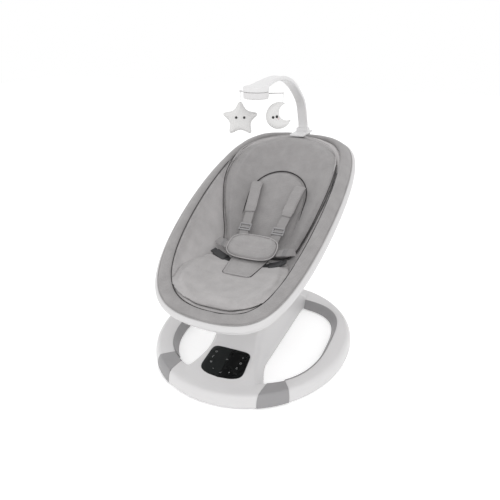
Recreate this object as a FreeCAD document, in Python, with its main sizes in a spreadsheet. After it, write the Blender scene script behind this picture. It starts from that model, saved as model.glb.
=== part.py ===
"""Baby swing: floor ring and pedestal, reclining seat that sways, toy bar with a mobile.

Row frame: millimetres, +Z up, -Y towards the feet end and the control panel, X across.
The origin is on the floor, at the centre of the ring's width, under the central grip pad.
The seat has a frame of its own: X across, L along the seat towards the head, N out of the seat.
"""
import FreeCAD
import Part
import Sketcher
import math
import os

V = FreeCAD.Vector
Rotation = FreeCAD.Rotation
Placement = FreeCAD.Placement

DRIVING = {
    # floor ring
    "ring_half_width": 270.0,
    "ring_front_length": 317.0,
    "ring_rear_length": 287.0,
    "ring_crest_height": 36.0,
    "ring_inner_height": 28.0,
    "ring_inner_half_width": 214.0,
    "ring_inner_front": 239.0,
    "ring_inner_rear": 216.0,
    "inner_wall_slope": 11.0,
    "liner_thickness": 3.0,
    "grip_height": 2.0,
    # pedestal
    "neck_height": 192.0,
    "neck_half_width": 64.0,
    "foot_half_width": 80.0,
    "deck_slope": 15.0,
    "panel_centre_y": -197.0,
    "panel_centre_z": 46.4,
    "panel_width": 112.0,
    "panel_length": 80.0,
    "panel_thickness": 2.4,
    # drive and carrier
    "swing_axis_y": 20.0,
    "shaft_radius": 11.0,
    "running_gap": 0.05,
    "motor_radius": 27.0,
    "motor_height": 36.0,
    "turntable_radius": 60.0,
    "turntable_thickness": 6.0,
    "hinge_height": 214.0,
    "pin_radius": 5.0,
    "ear_thickness": 8.0,
    "ear_inner_x": 30.0,
    # seat
    "seat_centre_y": 27.2,
    "seat_centre_z": 392.3,
    "seat_tilt": 21.4,
    "seat_half_width": 211.4,
    "seat_half_length": 409.9,
    "border_width": 35.0,
    "bowl_depth": 148.0,
    "shell_wall": 4.0,
    "liner_wall": 7.0,
    # harness
    "webbing_width": 26.0,
    "webbing_thickness": 2.5,
    "sleeve_width": 34.0,
    "sleeve_thickness": 8.0,
    "buckle_width": 52.0,
    "buckle_length": 40.0,
    "buckle_height": 14.0,
    # toy bar
    "arm_width": 29.0,
    "arm_thickness": 12.0,
    "hub_centre_y": -7.4,
    "hub_radius": 31.0,
    "hub_bottom": 675.0,
    "hub_seam": 691.0,
    "hub_top": 704.0,
    "rod_height": 686.0,
    "rod_radius": 1.6,
    "rod_reach": 66.0,
    "cord_length": 22.0,
    "star_size": 46.0,
    "moon_size": 31.5,
    "toy_thickness": 22.0,
    # buttons
    "power_radius": 6.0,
    "knob_radius": 9.0,
}

doc = FreeCAD.newDocument("BabySwing")
sheet = doc.addObject("Spreadsheet::Sheet", "Dimensions")
for row, (alias, value) in enumerate(DRIVING.items(), start=1):
    sheet.set("A%d" % row, alias)
    sheet.set("B%d" % row, str(value))
    sheet.setAlias("B%d" % row, alias)
doc.recompute()

SUB_PARTS = []


def size(alias):
    """The value of one driving dimension."""
    return float(sheet.get(alias))


def term(text):
    """An expression in driving dimensions, written with their plain aliases."""
    words = []
    for word in str(text).split():
        words.append("Dimensions." + word if word in DRIVING else word)
    return " ".join(words)


def value_of(text):
    """The number that such an expression gives now."""
    return float(sheet.evalExpression(term(text)))


def keep(obj, label):
    """Name a finished piece, so that it is written out as a node."""
    obj.Label = label
    SUB_PARTS.append(obj)
    return obj


def direction(axis):
    """The turn that takes +Z to the given axis."""
    return Rotation(V(0, 0, 1), V(*axis))


# ---------------------------------------------------------------- primitives

def cylinder(name, radius, height, centre, axis=(0, 0, 1)):
    """A cylinder that starts at centre and runs along axis."""
    obj = doc.addObject("Part::Cylinder", name)
    obj.setExpression("Radius", term(radius))
    obj.setExpression("Height", term(height))
    obj.Placement = Placement(V(*centre), direction(axis))
    return obj


def box(name, sizes, low, turn=None, pivot=(0, 0, 0)):
    """A box from its low corner, with a turn about a pivot when one is given."""
    obj = doc.addObject("Part::Box", name)
    for prop, text in zip(("Length", "Width", "Height"), sizes):
        obj.setExpression(prop, term(text))
    place = Placement(V(*low), Rotation())
    if turn is not None:
        place = Placement(V(), turn, V(*pivot)).multiply(place)
    obj.Placement = place
    return obj


def centred_box(name, sizes, centre, turn=None):
    """A box from its centre, turned about that centre."""
    low = [c - value_of(s) / 2 for c, s in zip(centre, sizes)]
    return box(name, sizes, low, turn, centre)


def cut(name, base, tools):
    """The base with every tool taken away."""
    if len(tools) == 1:
        tool = tools[0]
    else:
        tool = fuse(name + "_tools", tools)
    obj = doc.addObject("Part::Cut", name)
    obj.Base = base
    obj.Tool = tool
    return obj


def fuse(name, pieces):
    obj = doc.addObject("Part::MultiFuse", name)
    obj.Shapes = pieces
    return obj


def feature(name, shape):
    """A piece whose surface is worked out from the sheet's sizes."""
    obj = doc.addObject("Part::Feature", name)
    obj.Shape = shape
    return obj


# ---------------------------------------------------------- sketched pieces

def outline_sketch(body, role, corners):
    """A closed polygon on an origin plane; every corner is bound to the sheet."""
    sketch = body.newObject("Sketcher::SketchObject", body.Name + "_sketch")
    plane = [f for f in body.Origin.OriginFeatures if f.Role == role][0]
    sketch.AttachmentSupport = [(plane, "")]
    sketch.MapMode = "FlatFace"
    points = [V(value_of(a), value_of(b), 0) for a, b in corners]
    count = len(points)
    for i in range(count):
        sketch.addGeometry(Part.LineSegment(points[i], points[(i + 1) % count]), False)
    for i in range(count):
        sketch.addConstraint(Sketcher.Constraint("Coincident", i, 2, (i + 1) % count, 1))
    for i, corner in enumerate(corners):
        for kind, text, zero_axis in (("DistanceX", corner[0], -2), ("DistanceY", corner[1], -1)):
            if value_of(text) == 0:
                sketch.addConstraint(Sketcher.Constraint("PointOnObject", i, 1, zero_axis))
                continue
            limit = sketch.addConstraint(Sketcher.Constraint(kind, -1, 1, i, 1, value_of(text)))
            sketch.setExpression("Constraints[%d]" % limit, term(text))
    return sketch


def turned(name, corners, centre, axis=(0, 0, 1)):
    """A body of revolution: corners are (radius, height) along the axis."""
    body = doc.addObject("PartDesign::Body", name)
    sketch = outline_sketch(body, "XZ_Plane", corners)
    solid = body.newObject("PartDesign::Revolution", name + "_turn")
    solid.Profile = sketch
    solid.ReferenceAxis = (sketch, ["V_Axis"])
    solid.Angle = 360.0
    body.Placement = Placement(V(*centre), direction(axis))
    doc.recompute()
    return body


def padded(name, corners, height, place):
    """A body padded up from an outline in its own XY plane."""
    body = doc.addObject("PartDesign::Body", name)
    sketch = outline_sketch(body, "XY_Plane", corners)
    solid = body.newObject("PartDesign::Pad", name + "_pad")
    solid.Profile = sketch
    solid.setExpression("Length", term(height))
    body.Placement = place
    doc.recompute()
    return body


def rectangle(width, length):
    """Corners of a rectangle centred on the origin."""
    return [("-" + width + " / 2", "-" + length + " / 2"), (width + " / 2", "-" + length + " / 2"),
            (width + " / 2", length + " / 2"), ("-" + width + " / 2", length + " / 2")]


# ------------------------------------------------------- free-form surfaces

def closed_curve(points):
    """One smooth closed curve through the points."""
    curve = Part.BSplineCurve()
    curve.interpolate(Points=points, PeriodicFlag=True)
    return Part.Wire([curve.toShape()])


def stitched(faces):
    """A solid from the faces that bound it."""
    skin = Part.makeCompound(faces)
    skin.sewShape()
    solid = Part.Solid(skin.Shells[0] if skin.Shells else Part.Shell(faces))
    if solid.Volume < 0:
        solid.reverse()
    return solid


def hoop(loops):
    """A closed hoop whose section has one corner on each loop."""
    faces = []
    for near, far in zip(loops, loops[1:] + loops[:1]):
        faces.extend(Part.makeRuledSurface(near.Edges[0], far.Edges[0]).Faces)
    return stitched(faces)


def capped(loops):
    """A skin through the loops, closed by a flat face on the first and the last."""
    skin = Part.makeLoft(loops, False, True)
    return stitched(skin.Faces + [Part.Face(loops[0]), Part.Face(loops[-1])])


def sections(wires, ruled=False):
    """A solid through closed flat sections."""
    return Part.makeLoft(wires, True, ruled)


def angles(count):
    return [2 * math.pi * i / count for i in range(count)]


def power(value, exponent):
    """A signed power, for rounded-square outlines."""
    return math.copysign(abs(value) ** exponent, value)


def squircle(half_width, front, rear, exponent, height, rear_exponent=None, count=64):
    """A loop in plan whose front and rear halves have their own length and squareness."""
    points = []
    for a in angles(count):
        behind = math.sin(a) > 0
        square = rear_exponent if behind and rear_exponent else exponent
        points.append(V(half_width * power(math.cos(a), 2 / square),
                        power(math.sin(a), 2 / square) * (rear if behind else front), height))
    return closed_curve(points)


def rounded_section(centre, across, up, half_width, half_height, exponent=4.0, count=24):
    """A rounded-rectangle section about a centre, in the plane of across and up."""
    points = []
    for a in angles(count):
        points.append(centre + across * (half_width * power(math.cos(a), 2 / exponent))
                      + up * (half_height * power(math.sin(a), 2 / exponent)))
    return closed_curve(points)


# ------------------------------------------------------------- floor ring

def ring_loop(inset, height):
    """The ring's outer outline, drawn in by inset."""
    return squircle(size("ring_half_width") - inset, size("ring_front_length") - inset,
                    size("ring_rear_length") - inset, 2.06, height)


def inner_loop(inset, height):
    """The ring's inner outline, drawn in towards the middle by inset."""
    return squircle(size("ring_inner_half_width") - inset, size("ring_inner_front") - inset,
                    size("ring_inner_rear") - inset, 2.5, height, 3.6)


def prism(corners, low, high):
    """An upright prism on a polygon."""
    wire = Part.makePolygon([V(x, y, low) for x, y in corners + corners[:1]])
    return Part.Face(wire).extrude(V(0, 0, high - low))


FLOOR = size("grip_height")
CREST = size("ring_crest_height")
INNER_TOP = size("ring_inner_height")
SLOPE = size("inner_wall_slope")
LINER = size("liner_thickness")

ring = hoop([ring_loop(2, FLOOR), ring_loop(0, 10), ring_loop(3, 27), ring_loop(10, CREST),
             inner_loop(-LINER, INNER_TOP + 0.4), inner_loop(SLOPE - LINER, FLOOR)])
inner_wall = hoop([inner_loop(-LINER, INNER_TOP + 0.4), inner_loop(0, INNER_TOP),
                   inner_loop(SLOPE, FLOOR), inner_loop(SLOPE - LINER, FLOOR)])

SLEEVE_X = 120.0
REAR_X = 82.0
FAR = 400.0


def mirrored(corners, side):
    """The polygon, or its mirror image on the left."""
    return [(x * side, y) for x, y in corners]


def sleeve_zone(side, low, high):
    return prism(mirrored([(SLEEVE_X, -138), (SLEEVE_X, -FAR), (287, -FAR), (124, -138)], side), low, high)


def arch_zone(side, low, high):
    return prism(mirrored([(124, -138), (287, -FAR), (FAR, -FAR), (FAR, FAR), (REAR_X, FAR),
                           (REAR_X, 100)], side), low, high)


for side, word in ((-1, "left"), (1, "right")):
    keep(feature("arch_" + word, ring.common(arch_zone(side, -5, 60))), "side_arch_" + word)
    keep(feature("sleeve_" + word, ring.common(sleeve_zone(side, -5, 60))), "joint_sleeve_" + word)
    keep(feature("wall_" + word, inner_wall.common(arch_zone(side, -5, 60))), "inner_liner_" + word)


# --------------------------------------------------------------- pedestal

NECK = size("neck_height")
NECK_X = size("neck_half_width")
FOOT_X = size("foot_half_width")


def pedestal_section(y, foot, top, height):
    """One cross-section: flat on the floor, hollow flanks, rounded shoulders."""
    flank = [(foot, FLOOR), (foot - 0.55 * (foot - top), FLOOR + 0.22 * (height - FLOOR)),
             (top + 0.12 * (foot - top), FLOOR + 0.62 * (height - FLOOR)),
             (top - 4, height - 0.12 * (height - FLOOR)), (top * 0.78, height - 1.2), (0, height)]
    right = [V(x, y, z) for x, z in flank]
    left = [V(-x, y, z) for x, z in reversed(flank[:-1])]
    curve = Part.BSplineCurve()
    curve.interpolate(Points=right + left)
    return Part.Wire([curve.toShape(), Part.makeLine(left[-1], right[0])])


# (y, half-width at the floor, half-width at the top, height)
STATIONS = [
    (-288, 126, 112, 34.5), (-262, 132, 112, 33.5), (-240, 122, 98, 35.5), (-215, 114, 86, 41.5),
    (-190, 103, 78, 48.5), (-160, 91, 71, 57), (-138, 84, 67, 76), (-116, FOOT_X, NECK_X, 112),
    (-92, FOOT_X, NECK_X, 156),
    (-66, FOOT_X, NECK_X, 184), (-42, FOOT_X, NECK_X, NECK), (20, FOOT_X, NECK_X, NECK),
    (82, FOOT_X, NECK_X, NECK), (104, FOOT_X, NECK_X, 180), (128, FOOT_X, NECK_X, 150),
    (155, 80, 66, 114), (182, 80, 70, 82), (206, 81, 74, 56), (228, 88, 80, 38),
]
bridge = sections([pedestal_section(*station) for station in STATIONS])
bridge = bridge.cut([prism(mirrored(corners, side), 0, 60) for side in (-1, 1) for corners in (
    [(SLEEVE_X, -FAR), (FAR, -FAR), (FAR, -120), (SLEEVE_X, -120)],
    [(REAR_X, 170), (FAR, 170), (FAR, FAR), (REAR_X, FAR)])])
ends = ring.common(prism([(SLEEVE_X, -FAR), (SLEEVE_X, -160), (-SLEEVE_X, -160), (-SLEEVE_X, -FAR)], -5, 60))
rear = ring.common(prism([(REAR_X, FAR), (REAR_X, 160), (-REAR_X, 160), (-REAR_X, FAR)], -5, 60))
pedestal_block = feature("pedestal_block", bridge.fuse([ends, rear]))

SWING_Y = size("swing_axis_y")
CAVITY_R = "motor_radius + 5"
PANEL_TURN = Rotation(V(1, 0, 0), size("deck_slope"))
PANEL_AT = V(0, size("panel_centre_y"), size("panel_centre_z"))


def panel_outline(grow):
    """The touch panel: narrower at the top, bowed at the bottom, with soft corners."""
    half = size("panel_width") / 2 + grow
    reach = size("panel_length") / 2 + grow
    points = []
    for a in angles(32):
        x = power(math.cos(a), 0.3)
        y = power(math.sin(a), 0.3)
        bow = 0.36 * (1 - x * x) * max(0.0, -y)
        points.append(V(half * x * (1 - 0.05 * y), reach * (y - bow), 0))
    return closed_curve(points)


def panel_prism(grow, low, high):
    face = Part.Face(panel_outline(grow))
    face.translate(V(0, 0, low))
    return face.extrude(V(0, 0, high - low))


panel_place = Placement(PANEL_AT, PANEL_TURN)
recess = feature("panel_recess", panel_prism(0.3, -2.0, 16.0))
recess.Placement = panel_place
shaft_well = cylinder("shaft_well", CAVITY_R, "neck_height", (0, SWING_Y, 8))
deck_bay = box("deck_bay", (90, 50, 18), (-45, -208, 8))
speaker_bay = cylinder("speaker_bay", 21, 22, (0, -100, 8))
plate_bay = box("plate_bay", (144.6, 450.6, 6), (-72.3, -235.3, 2))
INLET_AT = (34, 246, 19)
POWER_AT = (-34, 246, 19)
rear_face = size("ring_rear_length")
inlet_bore = cylinder("inlet_bore", 5.5, 60, INLET_AT, (0, 1, 0))
power_bore = cylinder("power_bore", "power_radius + 0.4", 60, POWER_AT, (0, 1, 0))
over_neck = box("over_neck", (200, 300, 60), (-100, -130, NECK))
pedestal = cut("pedestal_moulding", pedestal_block,
               [over_neck, recess, shaft_well, deck_bay, speaker_bay, plate_bay, inlet_bore, power_bore])
keep(pedestal, "pedestal")

base_plate = padded("base_plate", [(-72, -235), (72, -235), (72, 215), (-72, 215)], 5,
                    Placement(V(0, 0, 2), Rotation()))
keep(base_plate, "base_plate")
for side, word in ((-1, "left"), (1, "right")):
    screw = turned("screw_" + word, [(0, 0), (2.6, 0), (3.8, 0.8), (3.8, 1.2), (0, 1.2)], (side * 60, 0, 0.8))
    keep(screw, "base_screw_" + word)

# rubber strips under the ring and one pad in the middle
strip = hoop([ring_loop(8, 0), ring_loop(8, FLOOR), ring_loop(46, FLOOR), ring_loop(46, 0)])
STRIP_ZONES = {"front": [(-95, -FAR), (95, -FAR), (95, -150), (-95, -150)],
               "rear": [(-75, 150), (75, 150), (75, FAR), (-75, FAR)],
               "left": [(-FAR, -120), (-150, -120), (-150, 120), (-FAR, 120)],
               "right": [(150, -120), (FAR, -120), (FAR, 120), (150, 120)]}
for word, corners in STRIP_ZONES.items():
    keep(feature("grip_" + word, strip.common(prism(corners, -5, 5))), "grip_pad_" + word)
keep(padded("grip_centre", rectangle("90", "60"), "grip_height", Placement()), "grip_pad_centre")

panel = feature("touch_panel", panel_prism(0, 0, size("panel_thickness")))
panel.Placement = Placement(PANEL_AT + PANEL_TURN.multVec(V(0, 0, -2.0)), PANEL_TURN)
keep(panel, "touch_panel")
board = padded("control_board", rectangle("80", "40"), 1.6, Placement(V(0, -183, 10), Rotation()))
keep(board, "control_board")
speaker = turned("speaker", [(0, 0), (19, 0), (19, 4), (9, 4), (9, 12), (0, 12)], (0, -100, 9))
keep(speaker, "loudspeaker")

# drive: motor and bearing in the well, inlet and power button at the back
motor = turned("motor_can", [(0, 0), (CAVITY_R, 0), (CAVITY_R, 6), ("motor_radius", 6),
                             ("motor_radius", "motor_height + 6"), (9, "motor_height + 6"),
                             (9, "motor_height + 10"), (0, "motor_height + 10")], (0, SWING_Y, 66))
keep(motor, "drive_motor")
bearing = turned("shaft_bearing", [("shaft_radius + running_gap", 0), (CAVITY_R, 0), (CAVITY_R, 22),
                                   ("shaft_radius + running_gap", 22)], (0, SWING_Y, 166))
keep(bearing, "shaft_bearing")
inlet_barrel = turned("inlet_barrel", [(2.8, 0), (5.5, 0), (5.5, 12), (2.8, 12)],
                      (34, rear_face - 14, 19), (0, 1, 0))
inlet_back = cylinder("inlet_back", 5.5, 8, (34, rear_face - 22, 19), (0, 1, 0))
inlet_pin = cylinder("inlet_pin", 0.9, 18, (34, rear_face - 22, 19), (0, 1, 0))
keep(fuse("inlet_core", [inlet_barrel, inlet_back, inlet_pin]), "power_inlet")
power_cap = turned("power_cap", [(0, 0), ("power_radius", 0), ("power_radius", 12), (5, 13), (0, 13)],
                   (-34, rear_face - 13, 19), (0, 1, 0))
keep(power_cap, "power_button")

# ---------------------------------------------------------------- carrier

TABLE_Z = size("neck_height") + 2
TABLE_TOP = TABLE_Z + size("turntable_thickness")
HINGE_Z = size("hinge_height")
EAR_X = size("ear_inner_x")
EAR_T = size("ear_thickness")
EAR_HALF = 13.0

shaft = cylinder("swing_shaft", "shaft_radius", "neck_height + 2 - 122", (0, SWING_Y, 122))
keep(shaft, "swing_shaft")
table = turned("turntable", [(0, 0), ("turntable_radius - 2", 0), ("turntable_radius", 2),
                             ("turntable_radius", "turntable_thickness - 2"),
                             ("turntable_radius - 2", "turntable_thickness"), (0, "turntable_thickness")],
               (0, SWING_Y, TABLE_Z))
keep(table, "turntable")
for side, word in ((-1, "left"), (1, "right")):
    low_x = EAR_X if side > 0 else -EAR_X - EAR_T
    web = box("ear_web_" + word, ("ear_thickness", 2 * EAR_HALF, HINGE_Z - TABLE_TOP),
              (low_x, SWING_Y - EAR_HALF, TABLE_TOP))
    eye = cylinder("ear_eye_" + word, EAR_HALF - 2, "ear_thickness", (low_x, SWING_Y, HINGE_Z), (1, 0, 0))
    pin_hole = cylinder("ear_hole_" + word, "pin_radius", "ear_thickness", (low_x, SWING_Y, HINGE_Z),
                        (1, 0, 0))
    ear = cut("hinge_ear_" + word, fuse("ear_block_" + word, [web, eye]), [pin_hole])
    keep(ear, "hinge_ear_" + word)
pin_rod = cylinder("pin_rod", "pin_radius", "ear_inner_x * 2 + ear_thickness * 2",
                   (-EAR_X - EAR_T, SWING_Y, HINGE_Z), (1, 0, 0))
pin_bore = cylinder("pin_bore", 3.3, 8, (EAR_X + EAR_T - 8, SWING_Y, HINGE_Z), (1, 0, 0))
keep(cut("hinge_rod", pin_rod, [pin_bore]), "hinge_pin")
knob = turned("release_knob", [(0, 0), (3, 0), (3, 7.5), ("knob_radius", 7.5), ("knob_radius", 13),
                               ("knob_radius - 2", 15), (0, 15)],
              (EAR_X + EAR_T - 3, SWING_Y, HINGE_Z), (1, 0, 0))
keep(knob, "recline_knob")

# ------------------------------------------------------------------- seat

TILT = math.radians(size("seat_tilt"))
SEAT_AT = V(0, size("seat_centre_y"), size("seat_centre_z"))
ALONG = V(0, math.cos(TILT), math.sin(TILT))
OUT = V(0, -math.sin(TILT), math.cos(TILT))
SEAT_TURN = Rotation(V(1, 0, 0), size("seat_tilt"))
HALF_W = size("seat_half_width")
HALF_L = size("seat_half_length")
BORDER = size("border_width")
DEPTH = size("bowl_depth")


def seat_point(x, along, out):
    """A point of the seat's own frame in the row frame."""
    return SEAT_AT + V(x, 0, 0) + ALONG * along + OUT * out


def rim_shape(a):
    """The egg-shaped rim: across, along, and its slight saddle, in the seat's frame."""
    x = math.cos(a) + 0.030 * math.sin(2 * a) - 0.032 * math.cos(3 * a)
    along = math.sin(a) - 0.013 * math.cos(2 * a) + 0.091 * math.sin(3 * a)
    return x, along, 9.2 * math.sin(a) ** 3 - 30.0 * math.sin(a) ** 2


def swell(a):
    """How far the padding stands above the rim: none at the feet, most at the head."""
    return 11.0 * (1 + math.sin(a))


def rim_loop(grow, lift, swelling=0.0):
    """The rim's outline moved outwards by grow and up by lift."""
    points = []
    for a in angles(44):
        x, along, saddle = rim_shape(a)
        points.append(seat_point((HALF_W + grow) * x, (HALF_L + grow) * along,
                                 saddle + lift + swelling * swell(a)))
    return closed_curve(points)


def centre_depth(along):
    """Height of the fabric bowl on the centre line: two slopes and a round bottom."""
    steepness = 0.39 + 0.03 * math.tanh((along + 35) / 60)
    return steepness * math.hypot(along + 35, 45) - DEPTH


def bowl(x, along):
    """Height of the fabric bowl: flat across the middle, steep at the sides."""
    reach = min(0.98, abs(along - 5) / 336)
    half = (HALF_W - BORDER) * (1 - reach ** 3) ** (1 / 3)
    tip = max(-1.0, min(1.0, along / 375))
    edge = 9.2 * tip ** 3 - 30.0 * tip ** 2 + 11.0 * (1 + tip)
    low = centre_depth(along)
    side = min(1.0, abs(x) / half) ** 4
    return low + max(0.0, edge - low) * side


def off_bowl(x, along, gap):
    """The point a given distance off the bowl, along its normal."""
    step = 2.0
    slope_x = (bowl(x + step, along) - bowl(x - step, along)) / (2 * step)
    slope_l = (bowl(x, along + step) - bowl(x, along - step)) / (2 * step)
    scale = gap / math.sqrt(1 + slope_x ** 2 + slope_l ** 2)
    return seat_point(x - slope_x * scale, along - slope_l * scale, bowl(x, along) + scale)


BITE = -60.0


def bowl_loop(share, gap):
    """A loop round the bowl at a share of the way from its bottom to the piping."""
    points = []
    for a in angles(44):
        x, along, saddle = rim_shape(a)
        points.append(off_bowl(share * (HALF_W - BORDER) * x,
                               BITE * (1 - share) + share * (HALF_L - BORDER) * along, gap))
    return closed_curve(points)


def flat_loop(half_width, half_length, centre, slope, height):
    """A flat ellipse round the bowl's bottom, for the last face of a skin."""
    points = []
    for a in angles(44):
        along = half_length * math.sin(a)
        points.append(seat_point(half_width * math.cos(a), centre + along, height + slope * along))
    return closed_curve(points)


SHARES = [0.93, 0.85, 0.74, 0.6, 0.44, 0.28]
wall = size("liner_wall")
inner = [rim_loop(-BORDER, -8, 1.0)] + [bowl_loop(s, 0) for s in SHARES]
inner += [flat_loop(20, 40, BITE, -0.06, centre_depth(BITE))]
outer = [rim_loop(-BORDER + wall, -8, 1.0)] + [bowl_loop(s, -wall) for s in SHARES]
outer += [flat_loop(20, 40, BITE, -0.06, centre_depth(BITE) - wall)]


def basin(inside, outside):
    """A thin bowl: an inner skin, an outer skin and a lip between their top loops."""
    faces = Part.makeLoft(inside, False, True).Faces + Part.makeLoft(outside, False, True).Faces
    faces += Part.makeRuledSurface(inside[0].Edges[0], outside[0].Edges[0]).Faces
    faces += [Part.Face(inside[-1]), Part.Face(outside[-1])]
    return stitched(faces)


liner = feature("seat_liner", basin(inner, outer))
keep(liner, "seat_liner")

# rim and its padded fabric border
rim = hoop([rim_loop(-1.5, -1.0), rim_loop(4.5, -2.5), rim_loop(9.0, -9.0), rim_loop(8.0, -19.0),
            rim_loop(3.0, -25.0), rim_loop(-8.0, -26.0), rim_loop(-8.0, -4.0)])
keep(feature("rim_frame", rim), "seat_rim")
border = hoop([rim_loop(-1.8, -0.4), rim_loop(-4.0, 4.0, 0.15), rim_loop(-20.0, 5.0, 0.75),
               rim_loop(4.0 - BORDER, 4.0, 1.0), rim_loop(-BORDER + 0.4, -1.0, 1.0),
               rim_loop(-BORDER + 0.4, -9.0, 0.9), rim_loop(-8.4, -9.0), rim_loop(-8.4, -3.5)])
keep(feature("border_cover_skin", border), "border_cover")

# white bucket under the fabric: (across, along, middle, height, share of the saddle)
SHELL_STEPS = [(0.86, 0.80, -30, -48, 0.9), (0.75, 0.58, -56, -80, 0.45), (0.65, 0.40, -57, -112, 0.2),
               (0.50, 0.24, -52, -136, 0.05)]


def shell_loops(inset):
    """Loops down the bucket from the rim, drawn in by the wall's thickness."""
    loops = [rim_loop(1.0 - inset, -26.4), rim_loop(-6.0 - inset, -38.0 + 0.4 * inset)]
    for across, along, middle, height, share in SHELL_STEPS:
        points = []
        for a in angles(44):
            x, reach, saddle = rim_shape(a)
            points.append(seat_point((HALF_W * across - inset) * x,
                                     middle + (HALF_L * along - inset) * reach,
                                     height + inset + share * saddle))
        loops.append(closed_curve(points))
    loops.append(flat_loop(HALF_W * 0.28 - inset, HALF_L * 0.12 - inset, -48, 0.0, -DEPTH + inset))
    return loops


shell_skin = feature("bucket_skin", basin(shell_loops(size("shell_wall")), shell_loops(0)))
keep(shell_skin, "seat_shell")


# ------------------------------------------------------------------- pads

EDGE_CLEARANCE = 1.5
edge_table = []
for a in angles(360):
    x, along, saddle = rim_shape(a)
    edge_table.append((math.atan2(along, x), math.hypot(along, x)))
edge_table.sort()


def within_border(x, along):
    """The point, drawn in where it would reach under the border's inner edge."""
    wide = HALF_W - BORDER - EDGE_CLEARANCE
    long = HALF_L - BORDER - EDGE_CLEARANCE
    bearing = math.atan2(along / long, x / wide)
    limit = min(edge_table, key=lambda entry: abs(entry[0] - bearing))[1]
    shrink = min(1.0, limit / max(1e-6, math.hypot(along / long, x / wide)))
    return x * shrink, along * shrink


def pad_outline(half_width, centre, half_length, exponent, taper=0.0):
    """A function that gives the pad's plan outline at a share of its size."""
    def at(a, share):
        along = half_length * power(math.sin(a), 2 / exponent)
        x = half_width * power(math.cos(a), 2 / exponent) * (1 + taper * along)
        x, along = within_border(x, centre + along)
        return share * x, centre + share * (along - centre)
    return at


def pad(name, outline, base, heights, edge):
    """A cushion on the bowl: heights are (share, height of its top over its underside)."""
    def loop(share, gap, flat=False):
        points = []
        x0, l0 = outline(0, 0)
        slope = (bowl(0, l0 + 5) - bowl(0, l0 - 5)) / 10
        for a in angles(40):
            x, along = outline(a, share)
            if flat:
                points.append(seat_point(x, along, bowl(0, l0) + slope * (along - l0) + gap))
            else:
                points.append(off_bowl(x, along, gap))
        return closed_curve(points)

    loops = [loop(0.10, base, True)] + [loop(s, base) for s in (0.35, 0.6, 0.8, 0.93)]
    loops.append(loop(1.0, base + edge))
    loops += [loop(share, base + rise) for share, rise in heights]
    loops.append(loop(0.10, base + heights[-1][1], True))
    return feature(name, capped(loops))


back_outline = pad_outline(161.0, 124.0, 190.0, 3.0, 0.0006)
seat_outline = pad_outline(146.0, -204.0, 128.0, 3.0)
keep(pad("back_cushion", back_outline, 2.6, [(0.94, 18), (0.8, 18.5), (0.6, 18), (0.35, 17.5)], 8.0),
     "back_pad")
keep(pad("seat_cushion", seat_outline, 2.4, [(0.93, 14), (0.8, 18), (0.6, 19), (0.35, 18)], 6.0), "seat_pad")


def insert_outline(a, share):
    """The tombstone-shaped insert: a half circle at the top, nearly square below."""
    radius = 91.0
    middle = 112.0
    x = radius * math.cos(a)
    along = radius * math.sin(a)
    if along < 0:
        x = radius * power(math.cos(a), 2 / 5)
        along = 160.0 * power(math.sin(a), 2 / 5)
    centre = middle - 35.0
    return share * x, centre + share * (middle + along - centre)


keep(pad("insert_cushion", insert_outline, 22.8, [(0.93, 6), (0.8, 7), (0.6, 8), (0.35, 8.5)], 3.0),
     "insert_pad")

# hinge knuckle under the bucket, in line with the seat
HINGE_AT = V(0, SWING_Y, HINGE_Z)
HINGE_DROP = -DEPTH - (HINGE_AT - SEAT_AT).dot(OUT)
KNUCKLE_X = EAR_X - 0.5
knuckle_bar = cylinder("knuckle_bar", 11, 2 * KNUCKLE_X, (-KNUCKLE_X, SWING_Y, HINGE_Z), (1, 0, 0))
knuckle_web = box("knuckle_web", (2 * KNUCKLE_X, 22, abs(HINGE_DROP) - 0.1), (-KNUCKLE_X, -11, 0))
knuckle_web.Placement = Placement(HINGE_AT, SEAT_TURN).multiply(Placement(V(-KNUCKLE_X, -11, 0), Rotation()))
knuckle_bore = cylinder("knuckle_bore", "pin_radius + running_gap", 2 * KNUCKLE_X,
                        (-KNUCKLE_X, SWING_Y, HINGE_Z), (1, 0, 0))
keep(cut("knuckle", fuse("knuckle_block", [knuckle_bar, knuckle_web]), [knuckle_bore]), "hinge_knuckle")

# ---------------------------------------------------------------- harness

WEB_W = size("webbing_width") / 2
WEB_T = size("webbing_thickness") / 2


def band(name, route, across, half_width, half_thickness):
    """A flat strap along a route of points, its width along across."""
    wires = []
    for i, point in enumerate(route):
        ahead = (route[min(i + 1, len(route) - 1)] - route[max(i - 1, 0)]).normalize()
        flat = (across - ahead * across.dot(ahead)).normalize()
        up = ahead.cross(flat)
        corners = [point + flat * half_width * i_x + up * half_thickness * i_z
                   for i_x, i_z in ((-1, -1), (1, -1), (1, 1), (-1, 1), (-1, -1))]
        wires.append(Part.makePolygon(corners))
    return feature(name, sections(wires, True))


def seat_route(side, points):
    return [seat_point(side * x, along, out) for x, along, out in points]


def on_seat(point, turn=0.0):
    """A placement at a seat point, turned like the seat and then by turn about X."""
    return Placement(seat_point(*point), SEAT_TURN.multiply(Rotation(V(1, 0, 0), turn)))


def pillow(name, half_width, half_length, half_height, exponent, place):
    """A soft pad with rounded edges."""
    loops = []
    for share, level in ((0.88, -1), (0.97, -0.6), (1.0, 0), (0.97, 0.6), (0.88, 1)):
        loops.append(squircle(half_width - (1 - share) * 40, half_length - (1 - share) * 40,
                              half_length - (1 - share) * 40, exponent, half_height * level))
    obj = feature(name, capped(loops))
    obj.Placement = place
    return obj


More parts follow.
